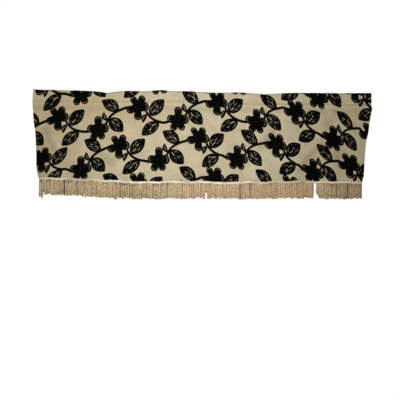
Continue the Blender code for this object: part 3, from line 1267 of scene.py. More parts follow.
HANGING_PETALS = (
    Petal(124, 44, 13.7), Petal(63, 48.0, 14.0), Petal(6, 43, 19.0), Petal(-89.5, 52, 15.7),
    Petal(-156, 48, 15.7),
)
STANDING_PETALS = (
    Petal(89, 49.5, 15.4), Petal(7, 43, 19.0), Petal(-64, 45.5, 14.4), Petal(-117, 52, 13.9),
    Petal(-176, 43.5, 16.9),
)
HANGING_LEAVES = (
    Leaf(47, 29, 101, -32, 24.0, -2.6, True),
    Leaf(80.5, 55, 15, 110, 22.4, 2.0, True),
    Leaf(34, 26, 19.5, 61, 9.2, 4.2, False),
)
STANDING_LEAVES = (
    Leaf(44, -39.5, 98, 8, 26.6, -1.4, True),
    Leaf(79.5, -73, 14, -113, 24.6, 2.4, True),
    Leaf(34.5, -31.5, 22, -65.5, 9.8, -5.6, False),
)
HANGING_STEM = ((32, 15), (40, 28), (51, 38.5), (62, 45.5), (80, 51.5), (100, 54.5))
STANDING_STEM = ((31, -20), (37, -33), (45, -46), (57, -58), (74, -69.5), (92, -78), (108, -84.5))
STEM_ENDS = ((-36, 12.5), (-33, 4.5))
MIDRIB = (Vein(0.14, 0.0, 0.40, 0.06, 1.3, 0.10), Vein(0.45, 0.07, 0.63, -0.05, 1.05, -0.16))
SIDE_VEINS = (
    Vein(0.24, 0.24, 0.42, 0.60, 0.6, 0.18), Vein(0.54, 0.30, 0.70, 0.48, 0.55, 0.14),
    Vein(0.34, 0.30, 0.50, 0.24, 0.4, 0.24),
)
MARGIN_DOTS = ((0.18, 0.52), (0.38, 0.76), (0.60, 0.72), (0.80, 0.46))


@dataclass
class Patch:
    """One outlined patch of flock with the bare marks left in it."""

    vine: int
    rim: np.ndarray
    marks: list[np.ndarray] = field(default_factory=list)


def ribbon(line: np.ndarray, halves: np.ndarray) -> np.ndarray:
    """The outline around a centre line.

    Args:
        line: Points along the middle.
        halves: Half width at each of them.

    Returns:
        The outline's corners in turn, anticlockwise, without doubles.
    """
    along = np.gradient(line, axis=0)
    along /= np.linalg.norm(along, axis=1, keepdims=True)
    side = np.stack([-along[:, 1], along[:, 0]], axis=1) * halves[:, None]
    rim = np.concatenate([line - side, (line + side)[::-1]])
    apart = np.linalg.norm(rim - np.roll(rim, 1, axis=0), axis=1) > 0.05
    return rim[apart]


def anticlockwise(rim: np.ndarray) -> np.ndarray:
    """An outline with its corners in anticlockwise turn.

    Args:
        rim: The outline's corners in turn.

    Returns:
        The corners.
    """
    after = np.roll(rim, -1, axis=0)
    area = (rim[:, 0] * after[:, 1] - after[:, 0] * rim[:, 1]).sum()
    return rim if area > 0 else rim[::-1]


def rounded_steps(count: int) -> np.ndarray:
    """Steps from 0 to 1 that lie closer together at both ends."""
    return (1.0 - np.cos(np.linspace(0.0, math.pi, count))) / 2


def inside(points: np.ndarray, rim: np.ndarray) -> np.ndarray:
    """Which points lie inside an outline.

    Args:
        points: The points.
        rim: The outline's corners in turn.

    Returns:
        True for each point inside.
    """
    x, y = points[:, 0, None], points[:, 1, None]
    one, two = rim, np.roll(rim, -1, axis=0)
    spans = (one[:, 1] > y) != (two[:, 1] > y)
    rise = np.where(two[:, 1] == one[:, 1], 1.0, two[:, 1] - one[:, 1])
    cross = one[:, 0] + (y - one[:, 1]) * (two[:, 0] - one[:, 0]) / rise
    return (spans & (x < cross)).sum(axis=1) % 2 == 1


def on_print(points: np.ndarray, bloom: Bloom, stretch: float = 1.0) -> np.ndarray:
    """Points around a flower, set on the cloth as the print runs there.

    Args:
        points: Points measured from the flower's middle.
        bloom: The flower.
        stretch: How much wider than usual the print is there.

    Returns:
        The points as (at, path).
    """
    at = points[:, 0] * stretch
    fall = bloom.fall + float(across(PRINT_FALL)(np.array(bloom.at)))
    return np.stack([bloom.at + at, bloom.drop + points[:, 1] + fall * at], axis=1)


@dataclass
class Flock:
    """Black flowers, leaves and vines standing up from the cloth's printed side."""

    hang: Hang
    lift: float = 0.6
    rim_lift: float = 0.4
    sink: float = 0.05
    centre: float = 23.0
    petal_neck: float = 0.66
    crescent: float = 0.60
    crescent_half: float = 0.42
    crescent_swing: float = 74.0
    crescent_fade: float = 1.1
    stem_half: float = 4.5
    stem_end_half: float = 5.4
    dot: float = 1.0
    dot_slip: float = 0.03
    dot_pull: float = 0.86
    dot_spread: Place = (0.7, 1.3)
    mark_kept: float = 0.72
    mark_start: float = 0.35
    small_mark_half: float = 0.7
    side_slip: float = 0.05
    vein_slip: float = 0.04
    vein_spread: Place = (0.7, 1.25)
    bow_spread: Place = (0.4, 1.6)
    lattice: float = 6.0
    crown_lattice: float = 2.6
    rim_clear: float = 1.5
    usual_pitch: float = 155.0
    lowest: float = 385.0
    half_width: float = 684.0
    seed: int = 5

    def petal(self, petal: Petal) -> tuple[np.ndarray, list[np.ndarray]]:
        """A round-headed petal with one bare crescent near its outer edge.

        Args:
            petal: The petal's direction and sizes.

        Returns:
            The outline, and the outlines of its bare marks.
        """
        steps = rounded_steps(15)
        heading = math.radians(petal.turn)
        axis = np.array([math.cos(heading), -math.sin(heading)])
        side = np.array([-axis[1], axis[0]])
        widest = 1.0 - petal.half / petal.reach
        head = np.sqrt(np.clip(1.0 - ((steps - widest) / (1.0 - widest)) ** 2, 0.0, 1.0))
        neck = self.petal_neck + (1.0 - self.petal_neck) * smooth_step(steps / widest)
        halves = petal.half * np.where(steps > widest, head, neck)
        swing = np.radians(np.linspace(-self.crescent_swing, self.crescent_swing, 11))[:, None]
        arc = widest * petal.reach * axis
        arc = arc + self.crescent * petal.half * (np.cos(swing) * axis + np.sin(swing) * side)
        crescent = ribbon(arc, self.crescent_half * np.sqrt(np.cos(swing[:, 0] * self.crescent_fade)))
        return ribbon(steps[:, None] * petal.reach * axis, halves), [crescent]

    def leaf(self, leaf: Leaf, randoms: random.Random) -> tuple[np.ndarray, list[np.ndarray]]:
        """A pointed leaf with a broken midrib, side veins and dots left bare.

        Args:
            leaf: The leaf's ends and sizes.
            randoms: The seeded randoms.

        Returns:
            The outline, and the outlines of its bare marks.
        """
        base = np.array([leaf.base_at, leaf.base_drop])
        run = np.array([leaf.tip_at, leaf.tip_drop]) - base
        side = np.array([-run[1], run[0]]) / np.linalg.norm(run)

        def place(along: np.ndarray, across: np.ndarray) -> np.ndarray:
            """Points of the leaf from their shares of its length and half width.

            Args:
                along: Shares of the length.
                across: Shares of the half width.

            Returns:
                The points around the flower.
            """
            along, across = np.asarray(along, float), np.asarray(across, float)
            bow = 4.0 * leaf.bend * along * (1.0 - along)
            wide = leaf.half * np.sin(math.pi * along**0.92) ** (0.58 + 0.22 * along)
            return base + along[..., None] * run + (bow + across * wide)[..., None] * side

        steps = rounded_steps(21)
        rim = np.concatenate([
            place(steps, -np.ones_like(steps)), place(steps[-2:0:-1], np.ones_like(steps[1:-1]))])
        share = np.linspace(0.0, 1.0, 7)
        lens = np.sin(self.mark_start + share * (math.pi - 2 * self.mark_start))
        if not leaf.veined:
            arc = place(0.25 + 0.5 * share, 0.1 + 0.15 * share)
            return rim, [ribbon(arc, self.small_mark_half * lens)]
        veins = [(vein, 1.0, 0.0) for vein in MIDRIB]
        kept = len(veins)
        veins += [(vein, hand, self.side_slip * hand) for vein in SIDE_VEINS for hand in (1.0, -1.0)]
        marks = []
        for number, (vein, hand, shift) in enumerate(veins):
            slip = shift + randoms.uniform(-self.vein_slip, self.vein_slip)
            along = slip + vein.along_a + (vein.along_b - vein.along_a) * share
            bow = vein.bow * randoms.uniform(*self.bow_spread) * np.sin(math.pi * share)
            off = vein.across_a + (vein.across_b - vein.across_a) * share + bow
            line = place(along, hand * off)
            half = vein.half * randoms.uniform(*self.vein_spread)
            if randoms.random() < self.mark_kept or number < kept:
                marks.append(ribbon(line, half * lens))
        turn = np.linspace(0.0, 2 * math.pi, 7)[:-1, None]
        ring = np.concatenate([np.cos(turn), np.sin(turn)], axis=1)
        for along, across_share in MARGIN_DOTS:
            for hand in (-1.0, 1.0):
                slip = randoms.uniform(-self.dot_slip, self.dot_slip)
                hub = place(np.array(along + slip), np.array(hand * across_share * self.dot_pull))
                radius = self.dot * randoms.uniform(*self.dot_spread)
                if randoms.random() < self.mark_kept:
                    marks.append(hub + radius * ring)
        return rim, marks

    def stem(self, bloom: Bloom, after: Bloom, hanging: bool) -> np.ndarray:
        """The stem from one flower to the next, as a smooth band.

        Args:
            bloom: The flower that it leaves.
            after: The flower that it reaches.
            hanging: Whether the first flower hangs.

        Returns:
            The stem's outline.
        """
        corners = np.array(HANGING_STEM if hanging else STANDING_STEM, float)
        corners = on_print(corners, bloom, (after.at - bloom.at) / self.usual_pitch)
        end = on_print(np.array([STEM_ENDS[0 if hanging else 1]], float), after)
        corners = np.concatenate([corners, end])
        lengths = np.linalg.norm(np.diff(corners, axis=0), axis=1)
        places = np.concatenate([[0.0], np.cumsum(lengths)])
        at = np.linspace(0.0, places[-1], 26)
        line = np.stack([Line(tuple(places), tuple(corners[:, i]))(at) for i in (0, 1)], axis=1)
        return ribbon(line, np.linspace(self.stem_half, self.stem_end_half, len(at)))

    def patches(self) -> list[Patch]:
        """Every patch of every vine, flat on the cloth.

        Returns:
            The patches, vine by vine.
        """
        randoms = random.Random(self.seed)
        turn = np.linspace(0.0, 2 * math.pi, 25)[:-1, None]
        disc = self.centre * np.concatenate([np.cos(turn), np.sin(turn)], axis=1)
        found = []
        for vine, (blooms, starts_down) in enumerate(zip(VINES, VINE_STARTS_DOWN)):
            for i, bloom in enumerate(blooms):
                hanging = (i % 2 == 0) == starts_down
                found.append(Patch(vine, on_print(disc, bloom)))
                for petal in HANGING_PETALS if hanging else STANDING_PETALS:
                    rim, marks = self.petal(petal)
                    marks = [on_print(mark, bloom) for mark in marks]
                    found.append(Patch(vine, on_print(rim, bloom), marks))
                if i + 1 == len(blooms):
                    continue
                after = blooms[i + 1]
                stretch = (after.at - bloom.at) / self.usual_pitch
                found.append(Patch(vine, self.stem(bloom, after, hanging)))
                for leaf in HANGING_LEAVES if hanging else STANDING_LEAVES:
                    rim, marks = self.leaf(leaf, randoms)
                    marks = [on_print(mark, bloom, stretch) for mark in marks]
                    found.append(Patch(vine, on_print(rim, bloom, stretch), marks))
        return found

    def lattice_points(self, patches: Sequence[Patch]) -> np.ndarray:
        """Even points inside the patches, closer together over the crown's bend.

        Args:
            patches: The patches.

        Returns:
            The points as (at, path).
        """
        low, high = self.hang.crown_end - 5.0, self.hang.crown + 3.0
        rows = np.concatenate([
            np.arange(low - 8 * self.lattice, low, self.lattice),
            np.arange(low, high, self.crown_lattice),
            np.arange(high + self.lattice / 2, self.lowest, self.lattice),
        ])
        columns = np.arange(-self.half_width, self.half_width, self.lattice)
        at = np.tile(columns, (len(rows), 1))
        at[1::2] += self.lattice / 2
        points = np.stack([at, np.repeat(rows[:, None], len(columns), axis=1)], axis=-1).reshape(-1, 2)
        keep = np.zeros(len(points), dtype=bool)
        for patch in patches:
            low_corner, high_corner = patch.rim.min(axis=0), patch.rim.max(axis=0)
            near = np.flatnonzero(((points > low_corner) & (points < high_corner)).all(axis=1))
            near = near[inside(points[near], patch.rim)]
            keep[near] = True
        edges = np.concatenate([rim for patch in patches for rim in (patch.rim, *patch.marks)])
        for i in np.flatnonzero(keep):
            off = np.abs(edges - points[i])
            keep[i] = not (off.max(axis=1) < self.rim_clear).any()
        return points[keep]

    def triangles(self, face: ClothFace) -> tuple[np.ndarray, list[list[tuple[int, ...]]]]:
        """Cut the patches to one stretch of cloth and fill them with triangles.

        Args:
            face: The stretch of cloth.

        Returns:
            The corners as (at, path), and the triangles of each vine.
        """
        outline = anticlockwise(self.hang.outline(face))
        low, high = outline.min(axis=0), outline.max(axis=0)
        patches = [
            patch for patch in self.patches()
            if (patch.rim.max(axis=0) > low).all() and (patch.rim.min(axis=0) < high).all()
        ]
        loops, owners = [outline], [(-1, False)]
        for number, patch in enumerate(patches):
            loops += [patch.rim, *patch.marks]
            owners += [(number, False)] + [(number, True)] * len(patch.marks)
        starts = np.cumsum([0] + [len(loop) for loop in loops])
        corners = np.concatenate([*loops, self.lattice_points(patches)])
        rings = [list(range(a, b)) for a, b in zip(starts, starts[1:])]
        corners = [Vector(corner) for corner in corners.tolist()]
        made = geometry.delaunay_2d_cdt(corners, [], rings, 1, 0.001, True)
        places, filled, sources = made[0], made[2], made[5]
        vines: list[list[tuple[int, ...]]] = [[] for _ in VINES]
        for corner_numbers, source in zip(filled, sources):
            found = [owners[i] for i in source]
            bare = {number for number, is_mark in found if is_mark}
            covered = [n for n, is_mark in found if not is_mark and n >= 0 and n not in bare]
            if covered and (-1, False) in found:
                vines[patches[covered[0]].vine].append(tuple(corner_numbers))
        return np.array([tuple(place) for place in places]), vines

    def solid(self, places: np.ndarray, filled: Sequence[tuple[int, ...]],
              face: ClothFace) -> tuple[np.ndarray, list[tuple[int, ...]]]:
        """Raise flat triangles into a closed low solid on the cloth.

        Args:
            places: Corners as (at, path).
            filled: The triangles.
            face: The stretch of cloth that they lie on.

        Returns:
            The solid's points and faces.
        """
        used, numbers = np.unique(np.array(filled), return_inverse=True)
        top = numbers.reshape(-1, 3)[:, ::-1]
        places = places[used]
        count = len(used)
        edges = {(int(t[i]), int(t[(i + 1) % 3])) for t in top for i in range(3)}
        rim = [edge for edge in edges if (edge[1], edge[0]) not in edges]
        rim.sort()
        lift = np.full(count, self.lift)
        lift[[corner for edge in rim for corner in edge]] = self.rim_lift
        upper = self.hang.points(places[:, 0], places[:, 1], lift, face)
        lower = self.hang.points(places[:, 0], places[:, 1], np.full(count, -self.sink), face)
        faces = [tuple(t) for t in top.tolist()]
        faces += [tuple(c + count for c in t[::-1]) for t in top.tolist()]
        faces += [(b, a, a + count, b + count) for a, b in rim]
        return np.concatenate([upper, lower]), faces

    def build(self, finishes: Finishes) -> list[bpy.types.Object]:
        """One piece for each vine on the front, and one for what lies on the hems.

        Args:
            finishes: The valance's finishes.

        Returns:
            The pieces.
        """
        pieces = []
        places, vines = self.triangles(ClothFace.FRONT)
        for number, filled in enumerate(vines):
            points, faces = self.solid(places, filled, ClothFace.FRONT)
            pieces.append(make_piece(f"flock_vine_{number + 1}", points, faces, finishes.flock))
        for face in (ClothFace.FOOT_HEM, ClothFace.LEFT_HEM, ClothFace.RIGHT_HEM):
            places, vines = self.triangles(face)
            filled = [corner for vine in vines for corner in vine]
            if filled:
                points, faces = self.solid(places, filled, face)
                name = "flock_" + face.value.replace(" ", "_")
                pieces.append(make_piece(name, points, faces, finishes.flock))
        return pieces


# ---------------------------------------------------------------- the fringe
@dataclass
class CordYarn:
    """How a cord is twisted from its two plies, and the tree that makes it."""

    ring_step: float = 1.8
    corners: int = 8
    twist: float = 13.0
    waist: float = 0.26
    lobe: float = 0.672

    def tree(self) -> bpy.types.NodeTree:
        """A tree that turns guide lines into twisted cords.

        Returns:
            The tree.
        """
        net = GrowTree("twisted_cords", {"Ring step": self.ring_step * MM, "Twist": self.twist * MM})
        inputs = {"Curve": net.lines(), "Length": net.given["Ring step"]}
        lines = net.add("GeometryNodeResampleCurve", inputs, mode="LENGTH").outputs["Curve"]
        inputs = {"Curve": lines, "Radius": net.value("radius")}
        lines = net.add("GeometryNodeSetCurveRadius", inputs).outputs["Curve"]
        run = net.add("GeometryNodeSplineParameter").outputs["Length"]
        turns = net.math("DIVIDE", run, net.given["Twist"])
        tilt = net.math("MULTIPLY_ADD", turns, 2 * math.pi, net.value("phase"))
        lines = net.add("GeometryNodeSetCurveTilt", {"Curve": lines, "Tilt": tilt}).outputs["Curve"]

        inputs = {"Resolution": self.corners, "Radius": 1.0}
        ring = net.add("GeometryNodeCurvePrimitiveCircle", inputs, mode="RADIUS").outputs["Curve"]
        axes = net.add("ShaderNodeSeparateXYZ", {0: net.add("GeometryNodeInputPosition").outputs[0]})
        x, y = axes.outputs["X"], axes.outputs["Y"]
        narrow = net.math("MULTIPLY_ADD", net.math("ABSOLUTE", x), self.lobe, self.waist)
        inputs = {"X": x, "Y": net.math("MULTIPLY", y, narrow), "Z": 0.0}
        pinched = net.add("ShaderNodeCombineXYZ", inputs).outputs[0]
        inputs = {"Geometry": ring, "Position": pinched}
        ring = net.add("GeometryNodeSetPosition", inputs).outputs["Geometry"]
        inputs = {"Curve": lines, "Profile Curve": ring, "Fill Caps": True}
        mesh_node = net.add("GeometryNodeCurveToMesh", inputs)
        if "Scale" in mesh_node.inputs:
            net.tree.links.new(net.value("radius"), mesh_node.inputs["Scale"])
        return net.finish(mesh_node.outputs["Mesh"])


SHOWN_YARN = CordYarn()
ROUND_YARN = CordYarn(ring_step=2.4, corners=6, waist=0.66, lobe=0.30)


class Cord(NamedTuple):
    """The points down a cord's middle, with how light and how reddish it is at each."""

    line: np.ndarray
    shades: np.ndarray
    blushes: np.ndarray


@dataclass
class Fringe:
    """One length of fringe: a woven tape and the cords that hang from it."""

    hang: Hang
    name: str
    tape_left: float
    tape_right: float
    cords_left: float
    cords_right: float
    seed: int
    tape_height: float = 9.4
    tape_depth: float = 2.2
    tape_clear: float = 0.6
    rib_pitch: float = 2.25
    rib_depth: float = 0.22
    rib_steps: int = 5
    rib_reach: float = 0.7
    edge_round: float = 0.18
    back_round: float = 0.9
    cord_pitch: float = 4.5
    cord_width: float = 3.75
    cord_radius: float = 2.15
    cord_thinnest: float = 0.92
    uneven: float = 1.8
    ragged: float = 2.8
    ragged_run: int = 3
    sway: float = 1.5
    stray: float = 0.12
    sway_length: float = 95.0
    wander: Place = (0.25, 0.3)
    backward: float = 0.6
    forward: float = 0.9
    root_inside: float = 1.6
    back_row: float = 1.7
    back_short: float = 1.5
    # How much darker the cords behind are painted, as the shade they hang in.
    back_shade: float = 0.20
    back_radius: float = 2.35
    usual_shade: float = 0.69
    turn_shade: float = 0.17
    turn_least: float = 0.1
    stray_shade: float = 0.08
    spread_shade: float = 0.16
    # How much darker the roots are painted, as shade under the tape.
    root_shade: Place = (-0.10, 0.26)
    root_fade: Tone = (1.0, 1.0, 0.7, 0.3)
    tip_shade: float = 0.05
    blush_at: float = 200.0
    blush_half: float = 360.0
    blush_most: float = 0.26
    blush_stray: Place = (-0.16, 0.22)
    blush_spread: float = 0.18
    # Painted shadow in the partings and at the tips where they close, and painted light and shade by
    # turns in dashed ones.
    parting_shade: float = 0.75
    closed_shade: float = 0.5
    dash_light: float = 0.35
    dash_dark: float = 0.9
    back_forward: float = -0.4
    taper: Tone = (0.9, 0.96, 0.62)
    thickness: Place = (0.93, 1.05)
    jitter: float = 0.35
    wide_parting: float = 3.0
    least_gap: float = 0.35
    guide_points: int = 16
    looks_seed: int = 100

    def tape_back(self, at: np.ndarray, height: np.ndarray) -> np.ndarray:
        """Y of the tape's back, clear in front of the cloth."""
        return self.hang.front_y(at, -height) - self.tape_clear

    def tape(self, finishes: Finishes) -> bpy.types.Object:
        """Weave the tape: upright ribs between two raised edges, slightly rounded.

        Args:
            finishes: The valance's finishes.

        Returns:
            The new piece.
        """
        count = round((self.tape_right - self.tape_left) / self.rib_pitch) * self.rib_steps
        at = np.linspace(self.tape_left, self.tape_right, count + 1)
        half, depth = self.tape_height / 2, self.tape_depth
        section = [(up, self.edge_round * depth if abs(up) == 1.0 else 0.0) for up in TAPE_FACE]
        back_edge = self.back_round * depth
        section += [(1.0, back_edge), (0.0, depth), (-1.0, back_edge)]
        ribs = np.cos(2 * math.pi * (at - self.tape_left) / self.rib_pitch)
        edge_ribs = np.cos(math.pi * (at - self.tape_left) / self.rib_pitch)
        middle = self.hang.tape_line(at)
        rings = []
        for up, inward in section:
            height = middle + up * half
            y = self.tape_back(at, height) - depth + inward
            if inward < 0.5 * depth:
                raised = ribs if abs(up) < self.rib_reach else edge_ribs * (1 if up > 0 else -1)
                y = y + self.rib_depth * (1.0 - raised) * (0.5 if abs(up) == 1.0 else 1.0)
            rings.append(np.stack([at, y, height], axis=1))
        points = np.stack(rings, axis=1)
        stations, corners = points.shape[:2]
        numbers = np.arange(stations * corners).reshape(stations, corners)
        one, two = numbers[:-1], numbers[1:]
        quads = np.stack([one, np.roll(one, -1, 1), np.roll(two, -1, 1), two], axis=-1)
        faces = quads.reshape(-1, 4)[:, ::-1].tolist()
        faces += [numbers[0].tolist(), numbers[-1][::-1].tolist()]
        tape = make_piece(f"tape_{self.name}", points.reshape(-1, 3), faces, finishes.tape)
        keep_value(tape.data, "tape_darkening", np.repeat(across(TAPE_DARKENING)(at), corners))
        return tape

    def cord_places(self, randoms: random.Random) -> list[Root]:
        """Every cord's root, from left to right, in even runs between the partings.

        Args:
            randoms: The seeded randoms.

        Returns:
            The roots.
        """
        places: list[Root] = []
        start, parting = self.cords_left, None
        inner = [p for p in PARTINGS if self.cords_left < p.at < self.cords_right]
        for after in (*inner, None):
            end = after.at - after.width / 2 if after else self.cords_right
            length = end - start - self.cord_width
            most = int(length / (self.cord_width + self.least_gap))
            count = max(min(round(length / self.cord_pitch), most), 0)
            step = length / count if count else 0.0
            for number in range(count + 1):
                width = self.cord_width * randoms.uniform(self.cord_thinnest, 1.0)
                loose = self.jitter if 0 < number < count else 0.0
                middle = start + number * step + self.cord_width / 2
                middle += randoms.uniform(-loose, loose)
                places.append(Root(middle - width / 2, middle + width / 2, parting))
                parting = None
            if after:
                start, parting = after.at + after.width / 2, after
        return places

    def shades(self, at: float, turn: int, randoms: random.Random) -> np.ndarray:
        """How light a cord is down its length: uneven, by turns lighter and darker.

        Its roots are painted darker as shade under the tape, and its tone across the fringe is
        painted light and shade.

        Args:
            at: Where the cord hangs.
            turn: 1 for a lighter cord, -1 for a darker one, 0 for a filler.
            randoms: The seeded randoms.

        Returns:
            A shade for each guide point, 0 to 1.
        """
        shade = self.usual_shade + self.turn_shade * turn * randoms.uniform(self.turn_least, 1.0)
        shade += randoms.uniform(-self.stray_shade, self.stray_shade)
        # Painted light and shade across the fringe.
        shade += float(across(CORD_TONES)(np.array(at)))
        root = randoms.uniform(*self.root_shade)
        spread = self.spread_shade
        fall = np.array([randoms.uniform(-spread, spread) for _ in range(self.guide_points)])
        # Painted shade at the roots, under the tape.
        fall[:len(self.root_fade)] -= root * np.array(self.root_fade)
        fall[-5:] -= self.tip_shade
        return np.clip(shade + fall, 0.0, 1.0)

    def blushes(self, at: float, randoms: random.Random) -> np.ndarray:
        """How reddish a cord is down its length, most right of the middle.

        Args:
            at: Where the cord hangs.
            randoms: The seeded randoms.

        Returns:
            A share for each guide point, 0 to 1.
        """
        most = self.blush_most * math.exp(-(((at - self.blush_at) / self.blush_half) ** 2))
        most += randoms.uniform(*self.blush_stray)
        spread = self.blush_spread
        steps = [most + randoms.uniform(-spread, spread) for _ in range(self.guide_points)]
        return np.clip(np.array(steps), 0.0, 1.0)

    def cord_line(self, middle: float, tip: float, sway: float, forward: float,
                  back: float) -> np.ndarray:
        """Points down the middle of one cord, from inside the tape to its tip.

        Args:
            middle: Where the cord's root is.
            tip: Height of its tip.
            sway: How far its tip swings sideways.
            forward: How far its tip swings forward.
            back: How far it hangs behind the front row.

        Returns:
            The points.
        """
        root_height = float(self.hang.tape_line(np.array(middle))) - self.tape_height / 2
        cloth = float(self.tape_back(np.array(middle), np.array(root_height)))
        share = np.linspace(0.0, 1.0, self.guide_points)
        bow = np.sin(math.pi * share)
        at = middle + sway * share**1.4 + self.wander[0] * bow * math.sin(middle * 1.7)
        y = cloth - self.tape_depth / 2 + back * np.minimum(3 * share, 1.0)
        y = y - forward * share**1.2 - self.wander[1] * bow * math.cos(middle * 2.3)
        z = root_height + self.root_inside + share * (tip - root_height - self.root_inside)
        return np.stack([at, y, z], axis=1)

    def tips(self, middles: Sequence[float], randoms: random.Random) -> list[float]:
        """Height of every cord's tip: ragged in short runs, with a few odd ones.

        Args:
            middles: Where the cords' roots are.
            randoms: The seeded randoms.

        Returns:
            The heights.
        """
        found = []
        step = 0.0
        for number, middle in enumerate(middles):
            if number % self.ragged_run == 0:
                step = randoms.uniform(-self.ragged, self.ragged)
            tip = float(self.hang.tip_line(np.array(middle)))
            tip += step + randoms.uniform(-self.uneven, self.uneven)
            odd = [cord.tip for cord in ODD_CORDS if abs(cord.at - middle) < self.cord_pitch / 2]
            found.append(odd[0] if odd else tip)
        return found

    def front_row(self, places: Sequence[Root], tips: Sequence[float], randoms: random.Random,
                  looks: random.Random) -> list[Cord]:
        """The row of cords that shows.

        Args:
            places: Each cord's root.
            tips: Height of each cord's tip.
            randoms: The seeded randoms.
            looks: The seeded randoms for tones and lengths.

        Returns:
            The cords, from left to right.
        """
        row = []
        for number, (root, tip) in enumerate(zip(places, tips)):
            middle = (root.left + root.right) / 2
            stray = randoms.uniform(-self.stray, self.stray)
            sway = self.sway * math.sin(middle / self.sway_length) + stray
            forward = randoms.uniform(-self.backward, self.forward)
            line = self.cord_line(middle, tip, sway, forward, 0.0)
            shades = self.shades(middle, 1 if number % 2 else -1, looks)
            row.append(Cord(line, shades, self.blushes(middle, looks)))
        return row

    def back_row_cords(self, places: Sequence[Root], tips: Sequence[float],
                       looks: random.Random) -> list[Cord]:
        """The cords a little behind, which fill the spaces between those in front.

        They are painted darker as the shade they hang in.

        Args:
            places: Each cord's root.
            tips: Height of each cord's tip.
            looks: The seeded randoms for tones and lengths.

        Returns:
            The cords, from left to right.
        """
        row = []
        for before, after, tip in zip(places, places[1:], tips):
            space, parting = after.left - before.right, after.parting
            fillers = 2 if space > self.wide_parting else 1
            for middle in np.linspace(before.right, after.left, fillers + 2)[1:-1]:
                sway = self.sway * math.sin(middle / self.sway_length)
                end = tip + self.back_short + looks.uniform(-self.uneven, self.uneven)
                # Painted shade on the cords behind, painted shadow in the partings, painted light and
                # shade in dashed ones.
                shades = self.shades(middle, 0, looks) - self.back_shade
                if parting:
                    shades -= self.parting_shade * parting.dark
                    if end < -parting.closed_to:
                        end = -parting.closed_to
                        shades[-3:] -= self.closed_shade
                    if parting.dashed:
                        shades += self.dash_light
                        shades[3:13:3] -= self.dash_dark
                line = self.cord_line(middle, end, sway, self.back_forward, self.back_row)
                row.append(Cord(line, np.clip(shades, 0.0, 1.0), self.blushes(middle, looks)))
        return row

    def cords(self, finishes: Finishes) -> list[bpy.types.Object]:
        """Hang the cords: the row that shows, and fillers between them a little behind.

        Args:
            finishes: The valance's finishes.

        Returns:
            The front row and the one behind it.
        """
        randoms = random.Random(self.seed)
        looks = random.Random(self.seed + self.looks_seed)
        places = self.cord_places(randoms)
        tips = self.tips([(root.left + root.right) / 2 for root in places], randoms)
        front = self.front_row(places, tips, randoms, looks)
        behind = self.back_row_cords(places, tips, looks)
        pieces = []
        taper = np.ones(self.guide_points)
        taper[[0, -2, -1]] = self.taper
        for name, row, yarn, wide in (("front", front, SHOWN_YARN, self.cord_radius),
                                      ("behind", behind, ROUND_YARN, self.back_radius)):
            radius = [taper * wide * MM * looks.uniform(*self.thickness) for _ in row]
            phase = [np.full_like(taper, looks.uniform(0.0, 2 * math.pi)) for _ in row]
            guide = guide_lines(
                f"cords_{self.name}_{name}", [cord.line for cord in row],
                radius=np.concatenate(radius), phase=np.concatenate(phase),
                shade=np.concatenate([cord.shades for cord in row]),
                blush=np.concatenate([cord.blushes for cord in row]))
            sizes = {"Ring step": yarn.ring_step * MM, "Twist": yarn.twist * MM}
            pieces.append(grow(guide, yarn.tree(), {**sizes, "Finish": finishes.cord}))
        return pieces


